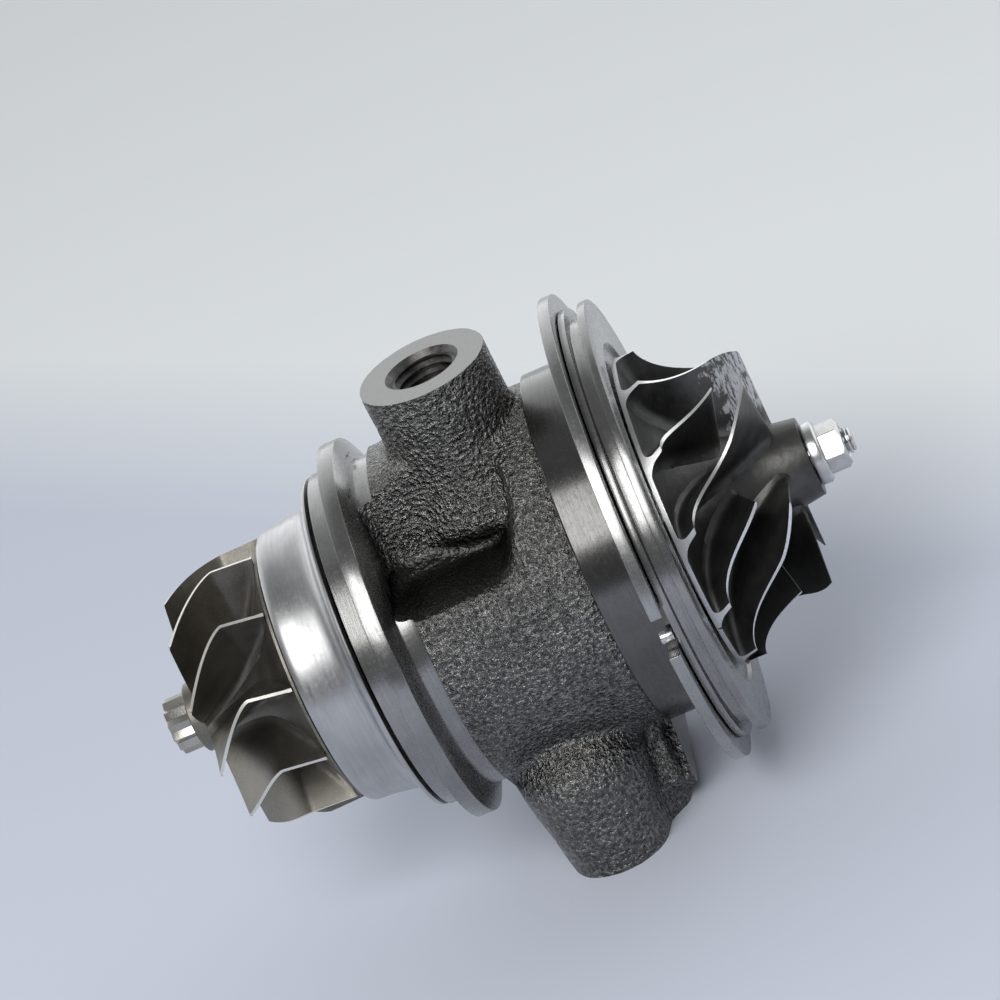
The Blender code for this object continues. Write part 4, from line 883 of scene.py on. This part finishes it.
def remeshed(obj, voxel, passes):
    """Even quads of one size, relaxed, which rounds every corner."""
    remesh = obj.modifiers.new("Remesh", "REMESH")
    remesh.mode = "VOXEL"
    remesh.voxel_size = voxel * MM
    settle(obj)

    def relax(bm):
        for _ in range(passes):
            bmesh.ops.smooth_vert(
                bm, verts=bm.verts[:], factor=0.5, use_axis_x=True, use_axis_y=True, use_axis_z=True
            )

    return reshaped(obj, relax)


def grain_relief(bm):
    """Moves each point in or out by the relief of the sand mould."""
    bm.normal_update()
    moves = []
    for vert in bm.verts:
        place = vert.co / MM
        grain = noise.noise(place / CAST_GRAIN) + 0.5 * noise.noise(place / CAST_GRAIN * 2.1)
        wave = noise.noise(place / CAST_WAVE)
        moves.append(vert.normal * (CAST_RELIEF * grain + CAST_WAVE_RELIEF * wave) * MM)
    for vert, move in zip(bm.verts, moves):
        vert.co += move


def roughened(obj):
    """Gives the casting round corners and the relief of its sand mould."""
    remeshed(obj, CAST_BLOCK_VOXEL, CAST_BLOCK_PASSES)
    remeshed(obj, CAST_VOXEL, CAST_PASSES)
    return reshaped(obj, grain_relief)


def compressor_flange():
    """Disc, empty ring groove, lip and spigot, turned in one setting."""
    groove_front = -DISC_THICKNESS
    groove_back = groove_front - GROOVE_WIDTH
    relief = 0.45
    flange = spun(
        [(-FACE_RECESS_DEPTH, 0), (-FACE_RECESS_DEPTH, FACE_RECESS_RADIUS),
         (0, FACE_RECESS_RADIUS + 0.4), (0, FLANGE_RADIUS), (groove_front, FLANGE_RADIUS),
         (groove_front, GROOVE_RADIUS), (groove_back, GROOVE_RADIUS), (groove_back, FLANGE_RADIUS),
         (LIP_BACK, FLANGE_RADIUS), (LIP_BACK, SPIGOT_RADIUS), (SPIGOT_END + 0.2, SPIGOT_RADIUS),
         (SPIGOT_END, SPIGOT_RADIUS - relief), (SPIGOT_END, BARREL_RADIUS - 0.6),
         (SPIGOT_END - 1.2, BARREL_RADIUS - 3), (SPIGOT_END - 1.2, 0)],
        closed=False, rounding=EDGE_ROUNDING, finish=TURNED,
    )
    for face in flange.faces:
        if (face.calc_center_median() - AXIS_POINT).yz.length > (SPIGOT_RADIUS + 0.6) * MM:
            face.material_index = SATIN
    return flange


def turbine_flange():
    """Rim for the band clamp, its step, the flat face and the seal boss."""
    inside = CORE_RADIUS - 3
    return spun(
        [(CONE_FOOT + 1.5, 0), (CONE_FOOT + 1.5, inside), (CONE_FOOT, inside + 2),
         (CONE_FOOT, CONE_FOOT_RADIUS - 0.4), (RIM_BACK, RIM_RADIUS), (RIM_FRONT, RIM_RADIUS),
         (RIM_FRONT, STEP_RADIUS), (TURBINE_FACE, STEP_RADIUS), (TURBINE_FACE, SEAL_BOSS_RADIUS + 2),
         (TURBINE_FACE - 2, SEAL_BOSS_RADIUS),
         (TURBINE_FACE - SEAL_BOSS_LENGTH, SEAL_BOSS_RADIUS - 1),
         (TURBINE_FACE - SEAL_BOSS_LENGTH, 0)],
        closed=False, rounding=EDGE_ROUNDING, finish=SATIN,
    )


def inner_cutters():
    """Insert pocket, thrust seat, journal bore and seal bore."""
    pocket = spun(
        [(1, 0), (1, INSERT_POCKET_RADIUS), (INSERT_SHOULDER, INSERT_POCKET_RADIUS),
         (INSERT_SHOULDER, THRUST_POCKET_RADIUS), (THRUST_SEAT, THRUST_POCKET_RADIUS),
         (THRUST_SEAT, 0)],
        closed=False, steps=MEDIUM_STEPS, finish=TURNED,
    )
    bore = spun(
        [(THRUST_SEAT + 1, 0), (THRUST_SEAT + 1, 10), (THRUST_SEAT - 3, 10),
         (THRUST_SEAT - 3, JOURNAL_BORE + 0.9), (TURBINE_FACE + 3.5, JOURNAL_BORE + 0.9),
         (TURBINE_FACE + 3.5, 13), (TURBINE_FACE + 1.1, 13), (TURBINE_FACE + 1.1, SEAL_BORE),
         (TURBINE_FACE - SEAL_BOSS_LENGTH - 1, SEAL_BORE),
         (TURBINE_FACE - SEAL_BOSS_LENGTH - 1, 0)],
        closed=False, steps=MEDIUM_STEPS, finish=BORE,
    )
    return [pocket, bore]


def inlet_cutter():
    """Chamfered oil inlet with the ridges of its thread."""
    bottom = BOSS_HEIGHT - INLET_DEPTH
    start = BOSS_HEIGHT - 1.0
    profile = [(BOSS_HEIGHT + 1, 0), (BOSS_HEIGHT + 1, INLET_CHAMFER_RADIUS + 1),
               (BOSS_HEIGHT, INLET_CHAMFER_RADIUS), (start, INLET_RADIUS + THREAD_HEIGHT / 2),
               (start, INLET_RADIUS - THREAD_HEIGHT / 4)]
    low = start - THREAD_PITCH / 2
    while low > bottom + THREAD_PITCH * 2:
        profile.append((low, INLET_RADIUS + THREAD_HEIGHT / 2))
        profile.append((low - THREAD_PITCH / 2 + 0.1, INLET_RADIUS - THREAD_HEIGHT / 2))
        profile.append((low - THREAD_PITCH / 2 - 0.1, INLET_RADIUS - THREAD_HEIGHT / 2))
        low -= THREAD_PITCH
    profile += [(bottom, INLET_RADIUS - 0.5), (bottom - INLET_POINT, 0)]
    return stood_up(spun(profile, closed=False, steps=SMALL_STEPS, finish=BORE), BOSS_STATION)


def drain_cutters():
    def hole(station, y, depth, radius):
        bm = spun(
            [(depth - DRAIN_DROP, 0), (depth - DRAIN_DROP, radius), (0.6 - DRAIN_DROP, radius),
             (-DRAIN_DROP - 2, radius + 2.6), (-DRAIN_DROP - 2, 0)],
            closed=False, steps=SMALL_STEPS, finish=BORE,
        )
        return stood_up(bm, station, y)

    half = DRAIN_HOLE_RADIUS + 0.8
    chamber = block(
        (DRAIN_STATION - half, -half, 14 - DRAIN_DROP), (DRAIN_STATION + half, half, -JOURNAL_BORE - 3.3),
        rounding=1.5, finish=CAST,
    )
    return [
        hole(DRAIN_STATION, 0, 15, DRAIN_HOLE_RADIUS), chamber,
        hole(DRAIN_STATION, -DRAIN_BOLT_REACH, DRAIN_BOLT_DEPTH, DRAIN_BOLT_RADIUS),
        hole(DRAIN_STATION, DRAIN_BOLT_REACH, DRAIN_BOLT_DEPTH, DRAIN_BOLT_RADIUS),
    ]


def face_cutters():
    """Milled top of the boss, milled drain face and the web's flat wall."""
    wide = 40
    boss_top = block((BOSS_STATION - wide, -wide, BOSS_HEIGHT),
                     (BOSS_STATION + wide, wide, BOSS_HEIGHT + 10), finish=MILLED)
    drain_face = block((BOSS_STATION - wide, -wide, -DRAIN_DROP - 4 * CAST_EXTRA),
                       (BOSS_STATION + wide, wide, -DRAIN_DROP), finish=MILLED)
    inner = SPIGOT_RADIUS + 0.1
    web_wall = spun(
        [(WEB_STATION, inner), (WEB_STATION, 2 * wide), (LIP_BACK, 2 * wide), (LIP_BACK, inner)],
        steps=MEDIUM_STEPS, finish=MILLED,
    )
    return boss_top, drain_face, web_wall


def bearing_housing():
    finishes = housing_finishes()
    casting = as_object("housing_casting", rough_barrel(), finishes)
    combine(casting, "DIFFERENCE", pocket_cutter())
    combine(casting, "UNION", oil_block(), oil_boss(), drain_neck(), drain_lobe(-1), drain_lobe(1))
    combine(casting, "UNION", drain_foot(), drain_web(), drain_cheeks())
    roughened(casting)
    combine(casting, "DIFFERENCE", tool_path_below_boss(finishes), tool_groove())
    combine(casting, "DIFFERENCE", *face_cutters())
    combine(casting, "UNION", compressor_flange(), turbine_flange())
    combine(casting, "DIFFERENCE", *inner_cutters(), inlet_cutter(), *drain_cutters())
    shade(casting)
    casting.name = "housing_casting"
    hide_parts("bearing_housing")
    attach(casting, "housing")
    return casting


# Snap ring and pin


def snap_ring():
    front = LIP_BACK - PLAY
    back = front - SNAP_RING_THICKNESS
    finish = turned_metal("spring_ring_steel", (0.4, 0.4, 0.396), 0.28, 6.0, 0.015, 0.4, 0.25)
    bm = spun([(front, SNAP_RING_OUTER), (back, SNAP_RING_OUTER), (back, SNAP_RING_INNER),
               (front, SNAP_RING_INNER)])
    obj = as_object("split_ring", bm, [finish])
    half = math.tan(math.radians(SNAP_RING_GAP_DEG / 2)) * SNAP_RING_OUTER
    gap = block((back - 1, -half, SNAP_RING_INNER - 5), (front + 1, half, SNAP_RING_OUTER + 5))
    combine(obj, "DIFFERENCE", turned(gap, SNAP_RING_GAP_AT_DEG - 90))
    reshaped(obj, lambda bm: round_edges(bm, SNAP_RING_ROUNDING, segments=3))
    shade(obj)
    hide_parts("snap_ring")
    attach(obj, "snap_ring")
    return obj


def locating_pin():
    front = LIP_BACK - PLAY
    back = LIP_BACK - PIN_STICKS_OUT
    bm = spun([(front, 0), (front, PIN_RADIUS), (back, PIN_RADIUS), (back, 0)], closed=False,
              steps=48, rounding=0.2)
    finish = plain_metal("polished_pin", (0.62, 0.62, 0.62), 0.26)
    angle = math.radians(PIN_AT_DEG)
    shift = Vector((0, PIN_RING_RADIUS * math.cos(angle), PIN_RING_RADIUS * math.sin(angle))) * MM
    moved_to(bm, Matrix.Translation(shift))
    obj = shade(as_object("ring_pin", bm, [finish]))
    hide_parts("locating_pin")
    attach(obj, "housing")
    return obj


# Heat shield


def heat_shield():
    back = SHIELD_BACK
    front = back - SHIELD_DEPTH
    sheet = SHIELD_SHEET
    body = SHIELD_BODY
    corner = SHIELD_CORNER
    outside = [
        (back, SHIELD_RIM), (back - 0.8, SHIELD_RIM - 0.15), (back - sheet - 0.25, SHIELD_RIM - 0.9),
        (back - sheet - 0.5, body + 2.2), (back - sheet - 1.0, body + 0.8),
        (back - sheet - 2.4, body + 0.1), (back - sheet - 4, body - 0.1), (front + 3.6, body - 0.7),
        (front + 1.2, corner + 0.5), (front + 0.3, corner + 0.1), (front, corner - 0.7),
        (front, SHIELD_HOLE + 4), (front, SHIELD_HOLE + 0.3),
    ]
    inside = [
        (front + sheet, SHIELD_HOLE + 0.3), (front + sheet, SHIELD_HOLE + 4),
        (front + sheet, corner - 2.2), (front + sheet + 0.6, corner - 1.0),
        (front + 3.6, body - 0.7 - sheet), (back - sheet - 3, body - 0.1 - sheet),
        (back - sheet - 0.6, body - 0.6), (back - 0.3, body + 0.5), (back, body + 2),
        (back, SHIELD_RIM - 1),
    ]
    finish = turned_metal("pressed_sheet", (0.52, 0.52, 0.522), 0.34, 1.6, 0.01, 0.3, 0.2)
    obj = as_object("shield_cup", spun(outside + inside, steps=96), [finish])
    smooth = obj.modifiers.new("Smooth", "SUBSURF")
    smooth.levels = 1
    smooth.render_levels = 1
    settle(obj)
    shade(obj)
    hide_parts("heat_shield")
    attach(obj, "housing")
    return obj


# Wheels


def blade(place, root, tip, fillet, along, across, finishes, lead):
    """A sheet bent by place(s, t), with s along the flow and t from hub to tip, and thickened.

    It is thickened round the shaft, so that its filleted root stays on the hub. The root grows
    over the share lead of its length, and the front edge rounds off over EDGE_LEAD.
    """

    def middle(s, t):
        return round_at(*place(s, t))

    bm = bmesh.new()
    bmesh.ops.create_grid(bm, x_segments=along, y_segments=across, size=1)
    grown = bmesh.ops.extrude_face_region(bm, geom=bm.faces[:])["geom"]
    bmesh.ops.translate(bm, verts=[v for v in grown if isinstance(v, bmesh.types.BMVert)], vec=(0, 0, 1))
    for vert in bm.verts:
        side = 1 if vert.co.z > 0.5 else -1
        s = ((vert.co.x + 1) / 2) ** 1.2
        t = ((vert.co.y + 1) / 2) ** 1.5
        station, radius, degrees = place(s, t)
        foot = Vector(place(s, 0)[:2])
        height = max((Vector((station, radius)) - foot).length - BLADE_SINK, 0)
        low = max(1 - height / fillet, 0)
        flare = fillet * (1 - math.sqrt(max(1 - low * low, 0)))
        ahead = max(1 - s / lead, 0)
        growth = 1 - ahead ** 1.5
        ahead = max(1 - s / EDGE_LEAD, 0)
        edge = 0.25 + 0.75 * math.sqrt(1 - ahead * ahead)
        along_flow = middle(s + 0.01, t) - middle(s - 0.01, t)
        up = middle(s, t + 0.01) - middle(s, t - 0.01)
        around = math.radians(degrees)
        facing = abs(along_flow.cross(up).normalized().dot((0, -math.sin(around), math.cos(around))))
        half = (tip + (root - tip) * growth * (1 - min(t, 1)) ** 1.3) / 2 * edge
        half = half / max(facing, 0.45) + flare * growth
        vert.co = round_at(station, radius, degrees + side * math.degrees(half / radius))
    bmesh.ops.recalc_face_normals(bm, faces=bm.faces[:])
    return as_object("blade", bm, finishes)


def envelope(profile, steps, first, last):
    """What the turning tool leaves of a wheel. Its ground faces are the bright ones.

    They are those whose stations lie from first to last, away from the shaft.
    """
    shape = spun(profile, closed=False, steps=steps)
    for face in shape.faces:
        middle = face.calc_center_median() - AXIS_POINT
        station = middle.x / MM - STATION_ZERO
        outward = face.normal.yz.length > 0.05
        face.material_index = 1 if outward and first <= station <= last else 0
    return shape


def turned_copy(obj, degrees):
    bm = bmesh.new()
    bm.from_mesh(obj.data)
    return turned(bm, degrees)


def turbine_hub_radius(station):
    start = TURBINE_BACK - TURBINE_DISC_THICKNESS
    end = TURBINE_BACK - TURBINE_LENGTH
    f = min(max((start - station) / (start - end), 0), 1)
    reach = TURBINE_DISC_RADIUS - TURBINE_HUB_END_RADIUS - TURBINE_HUB_SWELL
    return TURBINE_HUB_END_RADIUS + TURBINE_HUB_SWELL * (1 - f) + reach * (1 - f) ** 3.2


def turbine_blade_place(s, t):
    """Radial along the inducer, then curling over toward the outlet."""
    disc = TURBINE_BACK - TURBINE_DISC_THICKNESS
    hub_end = TURBINE_BACK - TURBINE_LENGTH + TURBINE_HUB_RUNOUT
    tip_front = disc - TURBINE_TIP_WIDTH
    exit_station = tip_front - TURBINE_TIP_RUN
    hub_station = disc + 0.1 + (hub_end - disc) * s
    hub_radius = turbine_hub_radius(hub_station) - BLADE_SINK
    outer = TURBINE_TIP_RADIUS + BLADE_OVERSHOOT
    hub_radius = hub_radius + (outer - hub_radius) * max(1 - max(s, 0) / 0.03, 0)
    tip_station = tip_front + (exit_station - tip_front) * s
    tip_radius = outer - (TURBINE_TIP_RADIUS - TURBINE_EXIT_RADIUS) * max(s, 0) ** 1.3
    station = hub_station + (tip_station - hub_station) * t
    radius = hub_radius + (tip_radius - hub_radius) * t
    curl = max((tip_front - station) / (tip_front - exit_station), 0)
    lean = 2.7 * min(max((station - tip_front) / TURBINE_TIP_WIDTH, 0), 1)
    return station, radius, TURBINE_BLADE_AT_DEG + lean + TURBINE_TWIST_DEG * curl ** 1.45


def twelve_point_nose():
    """Two hexagons on one axis, for the tool that holds the rotor."""
    bm = bmesh.new()
    bmesh.ops.create_cone(
        bm, cap_ends=True, segments=24, radius1=NOSE_RADIUS * MM, radius2=NOSE_RADIUS * MM,
        depth=(NOSE_LENGTH + 1) * MM,
    )
    for vert in bm.verts:
        turn = math.atan2(vert.co.y, vert.co.x) / (2 * math.pi) * 24
        if round(turn) % 2:
            vert.co.x *= NOSE_FLUTE_SHARE
            vert.co.y *= NOSE_FLUTE_SHARE
    round_edges(bm, 0.25, limit_deg=20)
    finished(bm, 2)
    end = TURBINE_BACK - TURBINE_LENGTH - NOSE_LENGTH
    place = Matrix.Translation(at(end + (NOSE_LENGTH + 1) / 2, 0, 0))
    return moved_to(bm, place @ Matrix.Rotation(math.pi / 2, 4, "Y"))


def turbine_envelope():
    tip_front = TURBINE_BACK - TURBINE_DISC_THICKNESS - TURBINE_TIP_WIDTH
    beyond = TURBINE_BACK - TURBINE_LENGTH - 2
    shroud = []
    for i in range(25):
        f = i / 24
        radius = TURBINE_TIP_RADIUS - (TURBINE_TIP_RADIUS - TURBINE_EXIT_RADIUS) * f ** 1.3
        shroud.append((tip_front - TURBINE_TIP_RUN * f, radius))
    return envelope(
        [(TURBINE_BACK, 0), (TURBINE_BACK, TURBINE_TIP_RADIUS)] + shroud
        + [(beyond, TURBINE_EXIT_RADIUS - 0.8), (beyond, 0)],
        24 * TURBINE_BLADES, beyond, TURBINE_BACK,
    )


def turbine_wheel():
    disc = TURBINE_BACK - TURBINE_DISC_THICKNESS
    end = TURBINE_BACK - TURBINE_LENGTH
    contour = []
    for i in range(1, 28):
        station = disc + (end - disc) * (i / 28) ** 1.5
        contour.append((station, turbine_hub_radius(station)))
    finishes = [turbine_alloy(), ground_edge("turbine_edge", (0.86, 0.84, 0.78), 0.36),
                plain_metal("turbine_nose", (0.42, 0.405, 0.37), 0.26)]
    hub = spun(
        [(TURBINE_BACK + 0.5, 0), (TURBINE_BACK + 0.5, TURBINE_DISC_RADIUS), (disc, TURBINE_DISC_RADIUS)]
        + contour + [(end + 0.3, TURBINE_HUB_END_RADIUS), (end, TURBINE_HUB_END_RADIUS - 0.4), (end, 0)],
        closed=False, steps=16 * TURBINE_BLADES,
    )
    obj = as_object("turbine_rotor", hub, finishes)
    one = blade(turbine_blade_place, 1.5, 0.5, 1.3, 60, 22, finishes, 0.3)
    blades = [turned_copy(one, 360 * i / TURBINE_BLADES) for i in range(TURBINE_BLADES)]
    combine(obj, "UNION", *blades)
    combine(obj, "INTERSECT", turbine_envelope())
    combine(obj, "UNION", twelve_point_nose())
    bpy.data.objects.remove(one)
    shade(obj)
    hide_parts("turbine_wheel")
    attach(obj, "rotor")
    return obj


def wrap(m):
    """Share of a compressor blade's turn at m, from steep at the inlet to swept back at the rim."""
    start = 2.1
    end = 0.64
    return (start + end - 2) * m ** 3 + (3 - 2 * start - end) * m ** 2 + start * m


def compressor_hub(m):
    front = COMPRESSOR_NOSE - LEADING_SETBACK + 0.6
    back = COMPRESSOR_BACK + COMPRESSOR_DISC_THICKNESS
    angle = math.pi / 2 * m
    station = back + (front - back) * (1 - math.sin(angle)) ** 1.05
    rise = COMPRESSOR_RADIUS - COMPRESSOR_HUB_RADIUS - 0.6
    return station, COMPRESSOR_HUB_RADIUS + 0.6 + rise * (1 - math.cos(angle))


def compressor_tip(m):
    front = COMPRESSOR_NOSE - LEADING_SETBACK
    back = COMPRESSOR_BACK + COMPRESSOR_DISC_THICKNESS + COMPRESSOR_EXIT_WIDTH
    level = front - COMPRESSOR_INLET_RUN
    if m < SPLITTER_START:
        return front + (level - front) * m / SPLITTER_START, COMPRESSOR_INLET_RADIUS + 0.1 * m
    angle = math.pi / 2 * (m - SPLITTER_START) / (1 - SPLITTER_START)
    station = back + (level - back) * (1 - math.sin(angle)) ** 0.9
    rise = COMPRESSOR_RADIUS - COMPRESSOR_INLET_RADIUS
    return station, COMPRESSOR_INLET_RADIUS + rise * (1 - math.cos(angle))


def compressor_blade_place(start):
    """The place function of a blade that starts at share start of the flow path."""

    def place(s, t):
        m = start + (1 - start) * s * BLADE_PAST_RIM
        hub_station, hub_radius = compressor_hub(m)
        tip_station, tip_radius = compressor_tip(m)
        sink = BLADE_SINK * (1 - t)
        span_length = math.hypot(tip_station - hub_station, tip_radius - hub_radius)
        rise = t * (1 + BLADE_OVERSHOOT / span_length)
        station = hub_station + (tip_station - hub_station) * rise - sink * m
        radius = hub_radius + (tip_radius - hub_radius) * rise - sink * (1 - m)
        turn = COMPRESSOR_WRAP_DEG * wrap(m) + (1 - t) * (TRAILING_RAKE_DEG * m - 3 * (1 - m))
        return station, radius, COMPRESSOR_BLADE_AT_DEG + turn

    return place


def compressor_wheel():
    disc_front = COMPRESSOR_BACK + COMPRESSOR_DISC_THICKNESS
    finishes = [cast_aluminium(), ground_edge("aluminium_edge", (0.9, 0.9, 0.895), 0.33)]
    contour = [compressor_hub(i / 30) for i in range(30)]
    hub = spun(
        [(COMPRESSOR_NOSE, WHEEL_BORE), (COMPRESSOR_NOSE, COMPRESSOR_HUB_RADIUS)] + contour
        + [(disc_front, COMPRESSOR_RADIUS), (disc_front, COMPRESSOR_RADIUS + 0.3),
           (COMPRESSOR_BACK - 0.5, COMPRESSOR_RADIUS + 0.3), (COMPRESSOR_BACK - 0.5, WHEEL_BORE)],
        steps=32 * COMPRESSOR_BLADES,
    )
    obj = as_object("compressor_rotor", hub, finishes)
    pitch = 360 / COMPRESSOR_BLADES
    for start, offset, along in ((0.0, 0.0, 64), (SPLITTER_START, 0.5, 50)):
        one = blade(compressor_blade_place(start), 1.2, 0.5, 1.7, along, 24, finishes, 0.06)
        blades = [turned_copy(one, pitch * (i + offset)) for i in range(COMPRESSOR_BLADES)]
        combine(obj, "UNION", *blades)
        bpy.data.objects.remove(one)
    combine(obj, "INTERSECT", compressor_envelope())
    shade(obj)
    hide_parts("compressor_wheel")
    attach(obj, "rotor")
    return obj


def compressor_envelope():
    shroud = [compressor_tip(i / 48) for i in range(49)]
    beyond = COMPRESSOR_NOSE + 1
    back = COMPRESSOR_BACK
    return envelope(
        [(beyond, 0), (beyond, COMPRESSOR_INLET_RADIUS)] + shroud
        + [(back, COMPRESSOR_RADIUS), (back, 0)],
        40 * COMPRESSOR_BLADES, back, beyond,
    )


# Nut and shaft


def shaft_nut():
    collar_front = NUT_SEAT + NUT_COLLAR_THICKNESS
    finish = plain_metal("plated_steel", (0.62, 0.62, 0.61), 0.28, 0.5)
    collar = spun(
        [(collar_front, 0), (collar_front, NUT_COLLAR_RADIUS - 0.5),
         (collar_front - 0.4, NUT_COLLAR_RADIUS), (NUT_SEAT, NUT_COLLAR_RADIUS), (NUT_SEAT, 0)],
        closed=False, steps=SMALL_STEPS, rounding=0.12,
    )
    obj = as_object("end_nut", collar, [finish])
    combine(obj, "UNION", nut_hexagon())
    bore = SHAFT_THREAD_RADIUS + 0.25
    hole = spun(
        [(NUT_END + 1, 0), (NUT_END + 1, bore + 1.2), (NUT_END - 0.3, bore), (NUT_SEAT - 1, bore),
         (NUT_SEAT - 1, 0)], closed=False, steps=SMALL_STEPS,
    )
    combine(obj, "DIFFERENCE", hole)
    shade(obj)
    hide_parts("shaft_nut")
    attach(obj, "rotor")
    return obj


def nut_hexagon():
    """Hexagon with its corners chamfered round."""
    corner = NUT_ACROSS_FLATS / 2 / math.cos(math.pi / 6)
    depth = NUT_HEX_HEIGHT + 0.5
    bm = bmesh.new()
    bmesh.ops.create_cone(
        bm, cap_ends=True, segments=6, radius1=corner * MM, radius2=corner * MM, depth=depth * MM
    )
    round_edges(bm, 0.15)
    moved_to(bm, Matrix.Translation(at(NUT_END - depth / 2, 0, 0)) @ Matrix.Rotation(math.pi / 2, 4, "Y"))
    hexagon = as_object("hexagon", bm)
    round_off = spun(
        [(NUT_END, 0), (NUT_END, NUT_ACROSS_FLATS / 2 - 0.1), (NUT_END - 0.8, corner + 0.1),
         (NUT_END - depth, corner + 0.1), (NUT_END - depth, 0)], closed=False, steps=SMALL_STEPS,
    )
    return combine(hexagon, "INTERSECT", round_off)


def rotor_shaft():
    radius = SHAFT_THREAD_RADIUS
    pitch = SHAFT_THREAD_PITCH
    hub = SEAL_HUB_RADIUS
    groove_back = SEAL_GROOVE_FRONT - SEAL_GROOVE_WIDTH
    back = TURBINE_BACK + PLAY
    profile = [(SHAFT_END, 0), (SHAFT_END, radius - 0.55), (SHAFT_END - 0.35, radius - 0.2)]
    ridge = SHAFT_END - 0.5
    while ridge > NUT_END - 1:
        profile.append((ridge, radius - 0.38))
        profile.append((ridge - pitch / 2 + 0.08, radius))
        profile.append((ridge - pitch / 2 - 0.08, radius))
        ridge -= pitch
    profile += [
        (ridge, radius - 0.2), (COMPRESSOR_NOSE - 0.4, radius), (COMPRESSOR_NOSE - 0.8, SHAFT_NECK_RADIUS),
        (SHAFT_NECK_END, SHAFT_NECK_RADIUS), (SHAFT_NECK_END - 0.4, JOURNAL_RADIUS),
        (JOURNAL_END, JOURNAL_RADIUS), (JOURNAL_END - 1, hub), (SEAL_GROOVE_FRONT, hub),
        (SEAL_GROOVE_FRONT, SEAL_GROOVE_RADIUS), (groove_back, SEAL_GROOVE_RADIUS),
        (groove_back, hub), (back, hub), (back, 0),
    ]
    finish = turned_metal("ground_shaft", (0.62, 0.62, 0.62), 0.2, 7.0, 0.015, 0.4, 0.2)
    obj = shade(as_object("threaded_shaft", spun(profile, closed=False, steps=SMALL_STEPS), [finish]))
    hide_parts("rotor_shaft")
    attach(obj, "rotor")
    return obj


# Carried-over CAD pieces


def dress_cad_pieces():
    """Finishes of the pieces inside the housing, whose CAD shapes stay."""
    ground = plain_metal("ground_steel", (0.6, 0.6, 0.6), 0.2)
    spring = plain_metal("spring_steel", (0.22, 0.22, 0.225), 0.34)
    bronze = plain_metal("bush_bronze", (0.62, 0.42, 0.2), 0.3)
    sheet = plain_metal("thin_sheet", (0.55, 0.55, 0.56), 0.3)
    insert = turned_metal("insert_aluminium", (0.62, 0.63, 0.64), 0.32, 4.0, 0.03)
    rubber = seal_rubber()
    looks = {
        "circlip_compressor_inner": spring, "circlip_turbine_inner": spring,
        "circlip_turbine_outer": spring, "compressor_seal_ring": spring,
        "turbine_seal_ring": spring, "insert_retaining_ring": spring,
        "compressor_journal_bush": bronze, "turbine_journal_bush": bronze,
        "thrust_bearing": bronze, "flinger_sleeve": ground, "thrust_collar": ground,
        "oil_deflector": sheet, "seal_insert": insert, "insert_o_ring": rubber,
    }
    for name, finish in looks.items():
        node = frame["nodes"][name]
        for slot in node.material_slots:
            slot.material = finish


# Stage


def floor():
    """Pale matt floor, the same to every kind of ray."""
    bm = bmesh.new()
    bmesh.ops.create_grid(bm, x_segments=1, y_segments=1, size=3.0)
    made, tree, shader = new_finish("pale_floor")
    coords = add(tree, "TexCoord").outputs["Object"]
    mottle = noise_at(tree, coords, 1.2, 3.0, 0.5)
    depth = add(tree, "VectorMath", {0: coords, 1: FLOOR_AWAY}, operation="DOT_PRODUCT").outputs["Value"]
    fade = span(tree, depth, FLOOR_EDGE - 0.03, FLOOR_EDGE + 0.03)
    base = blend_colours(tree, fade, (0.62, 0.66, 0.76), (0.88, 0.91, 0.93))
    colour = blend_colours(tree, span(tree, mottle, 0.3, 0.7, 0.0, 0.1), base, (0.7, 0.73, 0.78))
    set_inputs(tree, shader, {"Base Color": colour, "Roughness": 0.7, "Specular IOR Level": 0.2})
    obj = as_object("studio_floor", bm, [made])
    return obj


def key_light():
    """Large softbox over the camera's left shoulder."""
    lamp = bpy.data.lights.new("key_softbox", "AREA")
    lamp.shape = "RECTANGLE"
    lamp.size, lamp.size_y = KEY_SIZE
    lamp.energy = KEY_POWER
    obj = bpy.data.objects.new("key_softbox", lamp)
    bpy.context.scene.collection.objects.link(obj)
    obj.location = KEY_PLACE
    obj.rotation_euler = (Vector(KEY_TARGET) - Vector(KEY_PLACE)).to_track_quat("-Z", "Y").to_euler()


def world():
    """A dim room with a glowing far side, the same to every kind of ray."""
    made = bpy.data.worlds.new("studio")
    made.use_nodes = True
    tree = made.node_tree
    background = tree.nodes["Background"]
    coords = add(tree, "TexCoord").outputs["Generated"]
    parts = add(tree, "SeparateXYZ", {0: coords}).outputs
    backdrop = ramp(tree, parts["Z"], (0.0, 0.80), (0.4, 0.62), (0.7, 0.40), (0.86, 0.06), (0.95, 0.02))
    behind = span(tree, parts["Y"], -0.1, 0.2)
    glow = maths(tree, "MULTIPLY", maths(tree, "MULTIPLY", backdrop, behind), ROOM_GLOW)
    strength = maths(tree, "ADD", glow, ROOM_LEVEL)
    set_inputs(tree, background, {"Color": (0.96, 0.98, 1.0, 1), "Strength": strength})
    bpy.context.scene.world = made


def camera():
    made = bpy.data.cameras.new("photo_camera")
    made.lens = CAMERA_LENS
    made.sensor_width = 36
    made.clip_start = 0.01
    obj = bpy.data.objects.new("photo_camera", made)
    bpy.context.scene.collection.objects.link(obj)
    obj.location = CAMERA_PLACE
    obj.rotation_euler = CAMERA_TURN
    bpy.context.scene.camera = obj


camera()
bearing_housing()
snap_ring()
locating_pin()
heat_shield()
turbine_wheel()
compressor_wheel()
rotor_shaft()
shaft_nut()
dress_cad_pieces()
floor()
key_light()
world()
bpy.context.scene.view_settings.view_transform = "Standard"
